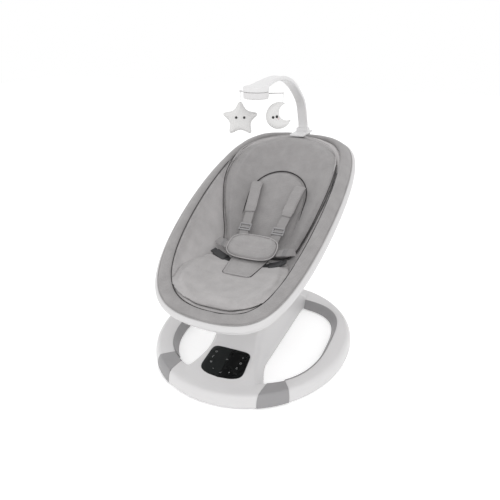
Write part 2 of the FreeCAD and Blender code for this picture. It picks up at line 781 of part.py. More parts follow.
SLEEVE_ROUTE = [(66, 141, -33.5), (63, 118, -32.5), (54, 35, -56)]
STRAP_ROUTE = [(54, 34.5, -57), (48.5, -16, -68), (45, -50, -76)]
WAIST_ROUTE = [(77, -86, -74), (94, -79, -76), (112, -66, -82)]
TONGUE_ROUTE = [(77, -123, -81), (96, -117, -74), (116, -110, -56.8)]
TONGUE_ACROSS = ALONG - OUT * 0.3
for side, word in ((-1, "left"), (1, "right")):
    sleeve = band("sleeve_band_" + word, seat_route(side, SLEEVE_ROUTE), V(1, 0, 0),
                  size("sleeve_width") / 2, size("sleeve_thickness") / 2)
    keep(sleeve, "shoulder_sleeve_" + word)
    strap = band("strap_band_" + word, seat_route(side, STRAP_ROUTE), V(1, 0, 0), WEB_W, WEB_T)
    keep(strap, "shoulder_strap_" + word)
    here = (side * 48.5, -16, -68)
    frame = centred_box("adjuster_frame_" + word, (34, 24, 6), (0, 0, 0))
    frame.Placement = on_seat(here, 13).multiply(Placement(V(-17, -12, -3), Rotation()))
    keep(cut("adjuster_cut_" + word, frame, [band("adjuster_slot_" + word, seat_route(side, STRAP_ROUTE),
                                                  V(1, 0, 0), WEB_W + 0.4, WEB_T + 0.4)]),
         "strap_adjuster_" + word)
    waist = band("waist_band_" + word, seat_route(side, WAIST_ROUTE), ALONG, WEB_W - 1, WEB_T)
    keep(waist, "waist_strap_" + word)
    tongue = band("tongue_band_" + word, seat_route(side, TONGUE_ROUTE), TONGUE_ACROSS, 10, 2)
    keep(tongue, "waist_tongue_" + word)

BUCKLE_AT = (0, -80, -89)
shell_box = centred_box("buckle_box", ("buckle_width", "buckle_length", 10), (0, 0, 0))
shell_box.Placement = on_seat(BUCKLE_AT).multiply(
    Placement(V(-size("buckle_width") / 2, -size("buckle_length") / 2, -5), Rotation()))
button_well = cylinder("button_well", 8.4, 12, (0, 0, 0))
button_well.Placement = on_seat((0, -80, -92.6))
keep(cut("buckle_case", shell_box, [button_well]), "buckle")
button = cylinder("button_disc", 8, 7.6, (0, 0, 0))
button.Placement = on_seat((0, -80, -89.6))
keep(button, "buckle_button")
cover = pillow("buckle_pillow", 75, 42, 8.5, 3.0, on_seat((0, -88, -67), 6))
keep(cover, "buckle_cover")

crotch_wires = []
for along, half, height in ((-104, 49, 3.0), (-118, 48, 3.5), (-150, 43, 3.5), (-192, 35, 3.2),
                            (-198, 32, 1.5)):
    middle = seat_point(0, along, bowl(0, along) + 27.5)
    crotch_wires.append(rounded_section(middle, V(1, 0, 0), OUT, half, height))
keep(feature("crotch_pad", sections(crotch_wires)), "crotch_cover")

# --------------------------------------------------------- toy bar and mobile

PLATE_Z = 524.7
COLLAR_TOP = 541.0
FOOT_Y = 377.0
plate = box("mount_plate", (44, 92, 5), (-22, 316, PLATE_Z))
collar = box("mount_collar", (36, 24, COLLAR_TOP - PLATE_Z - 5), (-18, FOOT_Y - 12, PLATE_Z + 5))
pocket = box("mount_pocket", (22.6, 10.6, 16), (-11.3, FOOT_Y - 5.3, COLLAR_TOP - 15))
keep(cut("mount_body", fuse("mount_block", [plate, collar]), [pocket]), "arm_mount")
jaw = box("clip_jaw", (30, 5, PLATE_Z - 462), (-15, 403, 462))
hook = box("clip_hook", (30, 16, 5), (-15, 392, 462))
keep(fuse("clip_body", [jaw, hook]), "arm_clip")

ARM_ROUTE = [(FOOT_Y, COLLAR_TOP + 0.4), (367, 573), (350, 611), (304, 652), (240, 687), (160, 707),
             (80, 708), (0, 699.5)]
ARM_W = size("arm_width") / 2
ARM_T = size("arm_thickness") / 2
route = Part.BSplineCurve()
route.interpolate(Points=[V(0, y, z) for y, z in ARM_ROUTE], InitialTangent=V(0, -0.02, 1),
                  FinalTangent=V(0, -1, -0.12))
arm_wires = []
steps = 28
for i in range(steps + 1):
    share = i / steps
    at = route.FirstParameter + share * (route.LastParameter - route.FirstParameter)
    flare = max(0.0, (share - 0.74) / 0.26) ** 1.6
    ahead = V(*route.tangent(at)[0])
    arm_wires.append(rounded_section(route.value(at), V(1, 0, 0), ahead.cross(V(1, 0, 0)),
                                     ARM_W + 12 * flare, ARM_T - 2 * flare))
arm_band = feature("arm_band", sections(arm_wires, True))
tongue = box("arm_tongue", (22, 10, 16), (-11, FOOT_Y - 5, COLLAR_TOP - 14.6))
HUB = (0, size("hub_centre_y"), 0)
cap = turned("hub_cap", [(0, "hub_seam + 0.3"), ("hub_radius", "hub_seam + 0.3"),
                         ("hub_radius", "hub_top - 4"), ("hub_radius - 4", "hub_top"), (0, "hub_top")], HUB)
axle_bore = cylinder("axle_bore", 4.05, 10, (0, HUB[1], size("hub_seam")))
keep(cut("toy_bar", fuse("toy_bar_block", [arm_band, tongue, cap]), [axle_bore]), "toy_arm")

disc = turned("disc_body", [(0, "hub_bottom"), ("hub_radius - 3", "hub_bottom"),
                            ("hub_radius - 0.5", "hub_bottom + 2.5"),
                            ("hub_radius - 0.5", "hub_seam - 0.2"), (4, "hub_seam - 0.2"),
                            (4, "hub_seam + 8"), (0, "hub_seam + 8")], HUB)
keep(disc, "mobile_disc")

TOY_TURNS = {"moon": 33.0, "star": 149.0}
REACH = size("rod_reach")
ROD_Z = size("rod_height")
TOY_TOP = ROD_Z - size("cord_length")
TOY_T = size("toy_thickness") / 2
rod_start = size("hub_radius") - 0.5


def toy_frame(word, facing):
    """The toy's tip under its rod, with X across the toy and Y up it; facing turns it about Z."""
    angle = math.radians(TOY_TURNS[word])
    tip = V(REACH * math.cos(angle), HUB[1] + REACH * math.sin(angle), TOY_TOP)
    upright = Rotation(V(1, 0, 0), 90)
    return Placement(tip, Rotation(V(0, 0, 1), facing).multiply(upright))


for word, turn in TOY_TURNS.items():
    angle = math.radians(turn)
    outward = (math.cos(angle), math.sin(angle), 0)
    start = (rod_start * outward[0], HUB[1] + rod_start * outward[1], ROD_Z)
    tip = (REACH * outward[0], HUB[1] + REACH * outward[1], ROD_Z)
    rod = cylinder("rod_" + word, "rod_radius", "rod_reach - hub_radius + 0.5", start, outward)
    ball = doc.addObject("Part::Sphere", "rod_ball_" + word)
    ball.setExpression("Radius", term("rod_radius + 1"))
    ball.Placement = Placement(V(*tip), Rotation())
    keep(fuse("rod_tip_" + word, [rod, ball]), "mobile_rod_" + word)
    cord = cylinder("cord_line_" + word, 0.8, "cord_length - rod_radius - 1.4", (tip[0], tip[1], TOY_TOP))
    keep(cord, word + "_cord")


def star_wire(share, level):
    radius = size("star_size") * share
    corners = []
    for i in range(11):
        reach = radius if i % 2 == 0 else 0.52 * radius
        corners.append(V(1.05 * reach * math.sin(math.pi * i / 5),
                         reach * math.cos(math.pi * i / 5) - size("star_size"), level))
    return Part.makePolygon(corners)


star = feature("star_plush", capped([star_wire(0.84, -TOY_T), star_wire(1, -TOY_T / 3),
                                     star_wire(1, TOY_T / 3), star_wire(0.84, TOY_T)]))
star.Placement = toy_frame("star", 23)
keep(star, "star_toy")

MOON_R = size("moon_size")
HORN = math.radians(73.0)
moon_centre = V(-MOON_R * 1.01 * math.cos(HORN), -MOON_R * 1.01 * math.sin(HORN), 0)
hollow_centre = moon_centre + V(math.cos(math.radians(22)), math.sin(math.radians(22)), 0) * MOON_R * 0.7
moon_disc = cylinder("moon_disc", "moon_size", "toy_thickness", (0, 0, 0))
moon_disc.Placement = toy_frame("moon", 33).multiply(Placement(moon_centre - V(0, 0, TOY_T), Rotation()))
moon_bite = cylinder("moon_bite", "moon_size * 0.67", "toy_thickness", (0, 0, 0))
moon_bite.Placement = toy_frame("moon", 33).multiply(Placement(hollow_centre - V(0, 0, TOY_T), Rotation()))
keep(cut("moon_plush", moon_disc, [moon_bite]), "moon_toy")

# ------------------------------------------------------------------ output

doc.recompute()
for obj in doc.Objects:
    if "Invalid" in obj.State or "Error" in obj.State:
        raise RuntimeError("failed object: " + obj.Name)
for obj in SUB_PARTS:
    if obj.Shape.isNull() or not obj.Shape.isValid() or len(obj.Shape.Solids) != 1:
        raise RuntimeError("bad shape: " + obj.Label)
os.makedirs("parts", exist_ok=True)
for obj in SUB_PARTS:
    obj.Shape.exportStep("parts/" + obj.Label + ".step")
print(len(SUB_PARTS), "pieces")
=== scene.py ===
"""Looks for the baby swing: mouldings, padded seat, harness, toy bar, materials, light and camera.

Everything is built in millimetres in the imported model's frame and turned into metres as a mesh
is made. The seat has a frame of its own: X across, L along the seat to the head, N out of it.
"""

import math

import bmesh
import bpy
import numpy as np
from mathutils import Matrix, Vector, noise


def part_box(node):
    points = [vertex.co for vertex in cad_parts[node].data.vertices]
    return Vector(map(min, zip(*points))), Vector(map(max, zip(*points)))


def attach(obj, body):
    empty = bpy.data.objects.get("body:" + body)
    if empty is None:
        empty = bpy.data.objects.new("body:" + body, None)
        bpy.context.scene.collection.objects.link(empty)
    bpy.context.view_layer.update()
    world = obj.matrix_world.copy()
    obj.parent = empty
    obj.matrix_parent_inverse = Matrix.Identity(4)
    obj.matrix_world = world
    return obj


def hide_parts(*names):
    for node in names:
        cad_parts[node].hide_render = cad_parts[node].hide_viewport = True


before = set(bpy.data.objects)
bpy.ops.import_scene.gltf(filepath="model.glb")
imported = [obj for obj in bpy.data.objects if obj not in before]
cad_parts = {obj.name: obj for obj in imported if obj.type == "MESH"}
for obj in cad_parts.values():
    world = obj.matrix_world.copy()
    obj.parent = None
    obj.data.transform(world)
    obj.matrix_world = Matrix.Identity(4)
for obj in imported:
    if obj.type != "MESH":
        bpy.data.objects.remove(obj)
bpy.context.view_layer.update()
scene = bpy.context.scene

MM = 0.001
TAU = 2 * math.pi
V = Vector


# ---- camera

CAMERA_AT = (0.4819, -1.1712, 0.8423)
CAMERA_TO = (0, -0.0437, 0.2951)


def aimed(name, data, at, target):
    """A camera or lamp at a point, looking at another."""
    obj = bpy.data.objects.new(name, data)
    scene.collection.objects.link(obj)
    obj.location = at
    obj.rotation_mode = "QUATERNION"
    obj.rotation_quaternion = (V(target) - V(at)).to_track_quat("-Z", "Y")
    return obj


lens = bpy.data.cameras.new("camera")
lens.lens = 36.86
lens.sensor_width = 36.0
scene.camera = aimed("camera", lens, CAMERA_AT, CAMERA_TO)


# ---- materials

class Shader:
    """A node material, put together one node at a time; lean turns its texture with the seat."""

    def __init__(self, name, lean=0.0):
        self.material = bpy.data.materials.new(name)
        self.material.use_nodes = True
        self.tree = self.material.node_tree
        self.surface = self.tree.nodes["Principled BSDF"]
        self.spot = self.add("TexCoord").node.outputs["Object"]
        if lean:
            self.spot = self.add("Mapping", {"Vector": self.spot, "Rotation": (-lean, 0.0, 0.0)})

    def add(self, kind, inputs=(), **settings):
        """A node with its settings; an input is a value or another node's output."""
        made = self.tree.nodes.new("ShaderNode" + kind)
        for key, value in settings.items():
            setattr(made, key, value)
        for key, value in dict(inputs).items():
            self.put(made.inputs[key], value)
        return made.outputs[0]

    def put(self, socket, value):
        if isinstance(value, bpy.types.NodeSocket):
            self.tree.links.new(value, socket)
        else:
            socket.default_value = value

    def set(self, **values):
        """Inputs of the surface itself, with _ for a space in a name; gives the material."""
        for key, value in values.items():
            self.put(self.surface.inputs[key.replace("_", " ")], value)
        return self.material

    def math(self, operation, a, b=0.0):
        return self.add("Math", {0: a, 1: b}, operation=operation)

    def noise(self, scale, detail=2.0, stretch=None):
        where = self.spot
        if stretch:
            where = self.add("Mapping", {"Vector": where, "Scale": stretch})
        return self.add("TexNoise", {"Vector": where, "Scale": scale, "Detail": detail})

    def ramp(self, value, low, high, start=0.0, stop=1.0):
        """A value that runs from start to stop as the input runs from low to high."""
        return self.add("MapRange", {"Value": value, "From Min": low, "From Max": high,
                                     "To Min": start, "To Max": stop})

    def between(self, share, start, stop):
        return self.ramp(share, 0.0, 1.0, start, stop)

    def tint(self, share, dark, light):
        """A colour between two colours."""
        mix = self.tree.nodes.new("ShaderNodeMix")
        mix.data_type = "RGBA"
        for socket, value in ((0, share), (6, dark), (7, light)):
            self.put(mix.inputs[socket], value)
        return mix.outputs[2]

    def bump(self, height, distance, strength=1.0, under=None):
        inputs = {"Height": height, "Distance": distance, "Strength": strength}
        if under is not None:
            inputs["Normal"] = under
        return self.add("Bump", inputs)


def shade(colour, factor):
    return tuple(min(1.0, c * factor) for c in colour[:3]) + (1.0,)


def plastic(name, colour, roughness, grain=0.00002, crease_darkening=0.06):
    """Moulded plastic: fine spark texture, uneven gloss, and a little darker in the creases."""
    s = Shader(name)
    broad = s.noise(14.0, 3.0)
    fine = s.noise(900.0)
    scuffs = s.noise(6.0, 5.0, (60.0, 9.0, 60.0))
    # the creases, found by pointiness, are made a little darker
    crease = s.ramp(s.add("NewGeometry").node.outputs["Pointiness"], 0.44, 0.5)
    base = s.tint(broad, shade(colour, 0.975), shade(colour, 1.02))
    base = s.tint(crease, shade(colour, 1 - crease_darkening), base)
    gloss = s.math("ADD", s.between(broad, roughness - 0.04, roughness + 0.05),
                   s.between(scuffs, -0.05, 0.07))
    return s.set(Base_Color=base, Roughness=gloss, Normal=s.bump(fine, grain, 0.6))


def knit(name, colour, pitch=0.0019, fold=0.0011, sheen=0.25):
    """Melange knit: a two-way grid of stitches, mixed fibres and soft uneven padding."""
    s = Shader(name, SEAT_LEAN)
    waves = s.add("VectorMath", {0: s.spot, 1: (TAU / pitch,) * 3}, operation="MULTIPLY")
    waves = s.add("VectorMath", {0: waves}, operation="SINE")
    dots = s.add("VectorMath", {0: waves, 1: (1.0, 1.0, 1.0)}, operation="DOT_PRODUCT")
    stitch = s.ramp(dots.node.outputs["Value"], -2.2, 2.2)
    fibres = s.noise(420.0, 3.0, (1.0, 3.0, 1.0))
    mottle = s.noise(34.0, 4.0)
    mixed = s.math("ADD", s.math("MULTIPLY", fibres, 0.55), s.math("MULTIPLY", mottle, 0.45))
    base = s.tint(s.ramp(mixed, 0.36, 0.64), shade(colour, 0.88), shade(colour, 1.12))
    base = s.tint(s.between(stitch, 0.0, 0.2), base, shade(colour, 0.62))
    soft = s.bump(s.noise(19.0), fold, 0.5)
    fuzz = s.bump(fibres, 0.0002, 0.4, s.bump(stitch, 0.00028, 0.5, soft))
    return s.set(Base_Color=base, Roughness=s.between(mottle, 0.82, 0.96), Normal=fuzz,
                 Sheen_Weight=sheen, Sheen_Roughness=0.5, Specular_IOR_Level=0.2)


def webbing(name, colour, along, lean=0.0):
    """Woven strap: close ribs across it, coarser rows along it, a little shine."""
    s = Shader(name, lean)
    split = s.add("SeparateXYZ", {0: s.spot}).node
    ribs = s.math("SINE", s.math("MULTIPLY", split.outputs[along], TAU / 0.0016))
    rows = s.math("SINE", s.math("MULTIPLY", split.outputs[1 - along], TAU / 0.0031))
    weave = s.ramp(s.math("ADD", ribs, rows), -2.0, 2.0)
    mottle = s.noise(160.0, 3.0)
    base = s.tint(weave, shade(colour, 0.8), shade(colour, 1.08))
    base = s.tint(s.between(mottle, 0.0, 0.35), base, shade(colour, 0.85))
    return s.set(Base_Color=base, Roughness=s.between(mottle, 0.6, 0.8),
                 Normal=s.bump(weave, 0.00035, 0.7), Sheen_Weight=0.15, Specular_IOR_Level=0.3)


def plush(name, colour):
    """Short plush: tufts and a bright soft edge."""
    s = Shader(name)
    tufts = s.noise(520.0, 4.0)
    patches = s.noise(60.0)
    base = s.tint(tufts, shade(colour, 0.86), shade(colour, 1.08))
    return s.set(Base_Color=base, Roughness=s.between(patches, 0.85, 1.0),
                 Normal=s.bump(tufts, 0.0009, 0.7, s.bump(patches, 0.0012, 0.4)),
                 Sheen_Weight=0.5, Sheen_Roughness=0.4, Specular_IOR_Level=0.15)


def metal(name, colour, roughness, stretch=(1.0, 40.0, 40.0)):
    """Turned or drawn metal with fine lines."""
    s = Shader(name)
    lines = s.noise(90.0, 4.0, stretch)
    return s.set(Base_Color=s.tint(lines, shade(colour, 0.85), shade(colour, 1.1)), Metallic=1.0,
                 Roughness=s.between(lines, roughness - 0.08, roughness + 0.12),
                 Normal=s.bump(lines, 0.00003, 0.5))


def rubber(name, colour):
    """Matt rubber with a coarse grain."""
    s = Shader(name)
    fine = s.noise(700.0, 3.0)
    broad = s.noise(25.0, 3.0)
    return s.set(Base_Color=s.tint(broad, shade(colour, 0.8), shade(colour, 1.25)),
                 Roughness=s.between(broad, 0.7, 0.9), Normal=s.bump(fine, 0.00012, 0.6))


def gloss_black(name, colour):
    """Touch panel: smooth and black, with a painted reflection that makes its left half paler, and a few
    faint smears.
    """
    s = Shader(name)
    smear = s.noise(30.0, 4.0, (1.0, 2.6, 1.0))
    # painted reflection: the left half is made paler by the material, standing in for a reflection
    pale = s.ramp(s.add("SeparateXYZ", {0: s.spot}), -0.003, 0.001, 1.0, 0.0)
    base = s.tint(smear, shade(colour, 0.8), shade(colour, 1.3))
    return s.set(Base_Color=s.tint(pale, base, shade(colour, 3.2)),
                 Roughness=s.between(smear, 0.12, 0.26), Specular_IOR_Level=0.12)


def printed(name, colour, roughness=0.5):
    """Flat print or embroidery thread."""
    s = Shader(name)
    thread = s.noise(900.0)
    return s.set(Base_Color=s.tint(thread, shade(colour, 0.85), shade(colour, 1.15)),
                 Roughness=roughness, Normal=s.bump(thread, 0.0001, 0.5))


SEAT_LEAN = math.radians(21.4)
WHITE = (0.62, 0.612, 0.615)
GREY = (0.285, 0.28, 0.285)
FABRIC = (0.30, 0.29, 0.29)
LOOK = {
    "white": plastic("white_moulding", WHITE, 0.34),
    "bright": plastic("bright_moulding", (0.66, 0.655, 0.658), 0.3),
    "rim": plastic("rim_moulding", (0.58, 0.572, 0.575), 0.34),
    "grey": plastic("grey_insert", GREY, 0.5, 0.00004),
    "dark": plastic("dark_moulding", (0.022, 0.022, 0.024), 0.45, 0.00003),
    "border": knit("border_knit", FABRIC),
    # painted light: the side walls' fabric is made 1.5 times lighter than the knit to make up for the shade
    # they sit in
    "wall": knit("lightened_wall_knit", shade(FABRIC, 1.5), fold=0.0016),
    "back": knit("back_knit", shade(FABRIC, 1.02)),
    "seat": knit("seat_knit", shade(FABRIC, 1.28), fold=0.0014),
    "cover": knit("cover_knit", shade(FABRIC, 1.1), 0.0016, 0.0007),
    "piping": knit("piping_knit", shade(FABRIC, 1.35), 0.0012, 0.0002),
    # painted shadow: near-black cords laid in the gaps between pads and border, where there is only shade
    "painted_shadow": knit("painted_shadow_knit", (0.045, 0.042, 0.043), 0.0012, 0.0002, 0.05),
    "pale_thread": printed("pale_thread", (0.46, 0.45, 0.45), 0.8),
    "strap": webbing("strap_webbing", shade(FABRIC, 0.98), 1, SEAT_LEAN),
    "waist": webbing("waist_webbing", FABRIC, 0, SEAT_LEAN),
    "plush": plush("white_plush", (0.66, 0.655, 0.65)),
    "steel": metal("turned_steel", (0.55, 0.55, 0.56), 0.32),
    "copper": metal("motor_can", (0.42, 0.42, 0.43), 0.4, (30.0, 30.0, 1.0)),
    "rubber": rubber("grip_rubber", (0.035, 0.035, 0.036)),
    "panel": gloss_black("touch_glass", (0.0035, 0.004, 0.004)),
    "icon": printed("panel_print", (0.3, 0.31, 0.31)),
    "board": printed("solder_mask", (0.02, 0.12, 0.05), 0.35),
    "cord": webbing("thin_cord", (0.7, 0.7, 0.7), 1),
    "eye": plastic("eye_bead", (0.006, 0.006, 0.006), 0.2),
    "blush": printed("blush_print", (0.62, 0.5, 0.5), 0.9),
    "smile": printed("smile_thread", (0.22, 0.2, 0.2), 0.8),
}


# ---- mesh helpers

def made(name, points, faces):
    """A mesh object from points in millimetres, with its faces turned outwards."""
    mesh = bpy.data.meshes.new(name)
    mesh.from_pydata([V(p) * MM for p in points], [], faces)
    bm = bmesh.new()
    bm.from_mesh(mesh)
    bmesh.ops.remove_doubles(bm, verts=bm.verts, dist=0.00001)
    bmesh.ops.recalc_face_normals(bm, faces=bm.faces)
    bm.to_mesh(mesh)
    bm.free()
    obj = bpy.data.objects.new(name, mesh)
    scene.collection.objects.link(obj)
    return smooth(obj)


def smooth(obj, angle=None):
    obj.data.shade_smooth()
    if angle is not None:
        obj.data.set_sharp_from_angle(angle=math.radians(angle))
    return obj


def skin(name, loops, wrap=False, caps=False):
    """Quads between closed loops of the same number of points; caps close the ends."""
    count = len(loops[0])
    rows = len(loops)
    points = [p for loop in loops for p in loop]
    faces = []
    for r in range(rows if wrap else rows - 1):
        near = r * count
        far = ((r + 1) % rows) * count
        for i in range(count):
            j = (i + 1) % count
            faces.append((near + i, near + j, far + j, far + i))
    if caps:
        faces.append(tuple(reversed(range(count))))
        faces.append(tuple(range((rows - 1) * count, rows * count)))
    return made(name, points, faces)


def blended(loops, steps, wrap=False):
    """More loops between the given ones, on smooth curves through them."""
    total = len(loops)
    result = []
    for k in range(total if wrap else total - 1):
        picks = [p % total if wrap else min(max(p, 0), total - 1) for p in range(k - 1, k + 3)]
        a, b, c, d = (loops[p] for p in picks)
        for step in range(steps):
            t = step / steps
            u = (-0.5 * t + t * t - 0.5 * t ** 3, 1 - 2.5 * t * t + 1.5 * t ** 3,
                 0.5 * t + 2 * t * t - 1.5 * t ** 3, -0.5 * t * t + 0.5 * t ** 3)
            result.append([p * u[0] + q * u[1] + r * u[2] + s * u[3]
                           for p, q, r, s in zip(a, b, c, d)])
    if not wrap:
        result.append(loops[-1])
    return result


def modifier(obj, kind, **settings):
    """The object with a modifier added."""
    added = obj.modifiers.new(kind.lower(), kind)
    for key, value in settings.items():
        setattr(added, key, value)
    return obj


def rounded(obj, width, segments=3, angle=35.0):
    """Round the edges sharper than the angle in degrees; width in millimetres."""
    return modifier(obj, "BEVEL", width=width * MM, segments=segments, limit_method="ANGLE",
                    angle_limit=math.radians(angle), harden_normals=False)


def finer(obj):
    return modifier(obj, "SUBSURF", levels=1, render_levels=1)


def baked(obj):
    """The object with its modifiers applied."""
    graph = bpy.context.evaluated_depsgraph_get()
    mesh = bpy.data.meshes.new_from_object(obj.evaluated_get(graph))
    obj.modifiers.clear()
    obj.data = mesh
    obj.data.name = obj.name
    return obj


def joined(name, pieces):
    """One object from several, with their modifiers applied."""
    bm = bmesh.new()
    for piece in pieces:
        bm.from_mesh(baked(piece).data)
    mesh = bpy.data.meshes.new(name)
    bm.to_mesh(mesh)
    bm.free()
    for piece in pieces:
        bpy.data.objects.remove(piece)
    obj = bpy.data.objects.new(name, mesh)
    scene.collection.objects.link(obj)
    return obj


def carved(obj, tool):
    """The object with the tool's volume taken out."""
    modifier(obj, "BOOLEAN", operation="DIFFERENCE", solver="EXACT", object=tool)
    baked(obj)
    bpy.data.objects.remove(tool)
    return obj


def halved(bm, point, towards, **settings):
    """Cut everything in a bmesh along a plane."""
    everything = bm.verts[:] + bm.edges[:] + bm.faces[:]
    bmesh.ops.bisect_plane(bm, geom=everything, plane_co=point, plane_no=towards, **settings)


def trimmed(obj, planes):
    """What lies on the far side of each plane (point, direction), closed again at the cuts."""
    bm = bmesh.new()
    bm.from_mesh(obj.data)
    for point, towards in planes:
        halved(bm, V(point) * MM, towards, clear_inner=True)
        bmesh.ops.holes_fill(bm, edges=[e for e in bm.edges if e.is_boundary], sides=0)
    bmesh.ops.recalc_face_normals(bm, faces=bm.faces)
    bm.to_mesh(obj.data)
    bm.free()
    return smooth(obj, 40)


def look(obj, key):
    obj.data.materials.clear()
    obj.data.materials.append(LOOK[key])
    return obj


def finish(obj, key, body, stands_for=()):
    """Give a piece its material and body, and hide the CAD nodes it stands for."""
    look(obj, key)
    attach(obj, body)
    if stands_for:
        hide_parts(*stands_for)
    return obj


def clamped(value):
    return max(0.0, min(1.0, value))


def power(value, exponent):
    """A power that keeps the sign."""
    return math.copysign(abs(value) ** exponent, value)


def angles(count):
    return [TAU * i / count for i in range(count)]


def tube(name, points, radius, closed=True, sides=8):
    """A round cord along points in millimetres, its own mesh."""
    count = len(points)
    loops = []
    for i, p in enumerate(points):
        if closed:
            ahead = points[(i + 1) % count] - points[i - 1]
        else:
            ahead = points[min(i + 1, count - 1)] - points[max(i - 1, 0)]
        ahead.normalize()
        side = ahead.cross(V((0.13, 0.21, 1.0))).normalized()
        up = side.cross(ahead)
        loops.append([p + (side * math.cos(a) + up * math.sin(a)) * radius for a in angles(sides)])
    return skin(name, loops, wrap=closed, caps=not closed)


def bar(size, at, turn=None, edge=0.8):
    """A box with rounded edges, from its size and centre."""
    half = V(size) / 2
    signs = (-1, 1)
    corners = [V((x * half.x, y * half.y, z * half.z)) for x in signs for y in signs for z in signs]
    if turn is not None:
        corners = [turn @ c for c in corners]
    faces = [(0, 1, 3, 2), (4, 6, 7, 5), (0, 4, 5, 1), (2, 3, 7, 6), (0, 2, 6, 4), (1, 5, 7, 3)]
    return baked(rounded(made("bar", [V(at) + c for c in corners], faces), edge))


def lathe(name, profile, at, axis=(0, 0, 1), count=64):
    """A turned solid: profile is (radius, height) pairs along the axis, in millimetres."""
    turn = V((0, 0, 1)).rotation_difference(V(axis)).to_matrix()
    return skin(name, [[V(at) + turn @ V((radius * math.cos(a), radius * math.sin(a), height))
                        for a in angles(count)] for radius, height in profile], caps=True)


# ---- floor ring

FLOOR = 2.0
CREST = 36.0
# half width, length to the front and length to the rear, of the ring and of its hole
RING = (270.0, 317.0, 287.0)
HOLE = (214.0, 239.0, 216.0)


def plan_loop(lengths, inset, height, front_square, rear_square, count=240):
    """A loop in plan with its own front and rear lengths and squareness."""
    half, front, rear = (length - inset for length in lengths)
    points = []
    for a in angles(count):
        behind = math.sin(a) > 0
        square = rear_square if behind else front_square
        points.append(V((half * power(math.cos(a), 2 / square),
                         power(math.sin(a), 2 / square) * (rear if behind else front), height)))
    return points


def outside(inset, height):
    return plan_loop(RING, inset, height, 2.06, 2.06)


def inside(inset, height):
    return plan_loop(HOLE, inset, height, 2.5, 3.6)


def ring_skin(name, proud=0.0, crisp=False):
    """The ring's whole skin, or one that stands proud of it with a ridge at its crest."""
    high = outside(10, CREST)
    low = inside(-3, 28.4)

    def slope(share, lift):
        return [p.lerp(q, share) + V((0, 0, lift)) for p, q in zip(high, low)]
    wall = [outside(inset - proud, height) for inset, height in
            ((2, FLOOR), (0.6, 5), (0, 10), (0.7, 18), (2.6, 26))]
    if crisp:
        wall += [outside(4.6 - proud, 30.2), outside(8.8 - proud, 35.4 + proud),
                 outside(10.4, 36.1 + proud)]
        wall += [slope(share, proud) for share in (0.2, 0.4, 0.6, 0.8)]
    else:
        wall += [outside(4.8, 30.4), outside(8.0, 33.9), outside(12.5, 35.7)]
        wall += [slope(*s) for s in ((0.15, 0.5), (0.32, 0.7), (0.5, 0.7), (0.7, 0.6), (0.88, 0.2))]
    wall += [inside(*s) for s in ((-3.6, 28.6 + proud), (-2.4, 26.9), (-0.6, 22.5), (2.8, 14),
                                  (6.4, 5.6), (8, FLOOR))]
    return skin(name, wall, wrap=True)


SIDES = ((-1, "left"), (1, "right"))
SLEEVE_X = 120.0
REAR_X = 82.0
JOINT_GAP = 0.25
JOINT_LINE = ((124.0, -138.0), (287.0, -400.0))
LINER_WALL = [(-2.6, 29.0), (-1.2, 29.3), (0.2, 28.5), (2, 24), (5.4, 15.5), (9.1, 6.5),
              (11, FLOOR + 0.3), (8.2, FLOOR + 0.3), (2.8, 15), (-2, 26.5)]

(x0, y0), (x1, y1) = JOINT_LINE
for side, word in SIDES:
    across = V(((y0 - y1) * side, x1 - x0, 0)).normalized()
    line = V((x0 * side, y0, 0))
    outward = V((side, 0, 0))
    behind = [(outward * (REAR_X + JOINT_GAP), outward), (line + across * JOINT_GAP, across)]
    ahead = [(outward * (SLEEVE_X + JOINT_GAP), outward), ((0, -60, 0), (0, -1, 0)),
             (line - across * JOINT_GAP, -across)]
    arch = trimmed(ring_skin("arch_" + word + "_skin"), behind)
    finish(rounded(arch, 0.7, 2), "white", "base", ["side_arch_" + word])
    sleeve = trimmed(ring_skin("sleeve_" + word + "_skin", 0.45, True), ahead)
    finish(rounded(sleeve, 0.6, 2), "grey", "base", ["joint_sleeve_" + word])
    wall = [inside(*s) for s in LINER_WALL]
    liner = trimmed(skin("liner_" + word + "_skin", wall, wrap=True), behind)
    finish(rounded(liner, 0.4, 2), "grey", "base", ["inner_liner_" + word])


# ---- pedestal

NECK = 192.0
# y, half width at the floor, half width at the top, height
STATIONS = [
    (-288, 126, 112, 34.5), (-262, 132, 112, 33.5), (-240, 122, 98, 35.5), (-215, 114, 86, 41.5),
    (-190, 103, 78, 48.5), (-160, 91, 71, 57), (-138, 84, 67, 76), (-116, 80, 64, 112), (-92, 80, 64, 156),
    (-66, 80, 64, 184), (-42, 80, 64, NECK), (20, 80, 64, NECK), (82, 80, 64, NECK), (104, 80, 64, 180),
    (128, 80, 64, 150), (155, 80, 66, 114), (182, 80, 70, 82), (206, 81, 74, 56), (228, 88, 80, 38),
]


def spline(points, steps):
    """Points on a smooth curve through the given ones."""
    return [loop[0] for loop in blended([[p] for p in points], steps)]


def pedestal_loop(y, foot, top, height):
    """One section: flat on the floor, hollow flanks, rounded shoulders."""
    rise = height - FLOOR
    flank = [(foot, FLOOR), (foot - 0.55 * (foot - top), FLOOR + 0.22 * rise),
             (top + 0.12 * (foot - top), FLOOR + 0.62 * rise), (top - 4, height - 0.12 * rise),
             (top * 0.78, height - 1.2), (0, height)]
    right = [V((x, y, z)) for x, z in flank]
    left = [V((-p.x, p.y, p.z)) for p in reversed(right[:-1])]
    return spline(right + left, 6)


def between_sides(half):
    """The two planes that keep what lies within a distance of the middle."""
    return [((half, 0, 0), (-1, 0, 0)), ((-half, 0, 0), (1, 0, 0))]


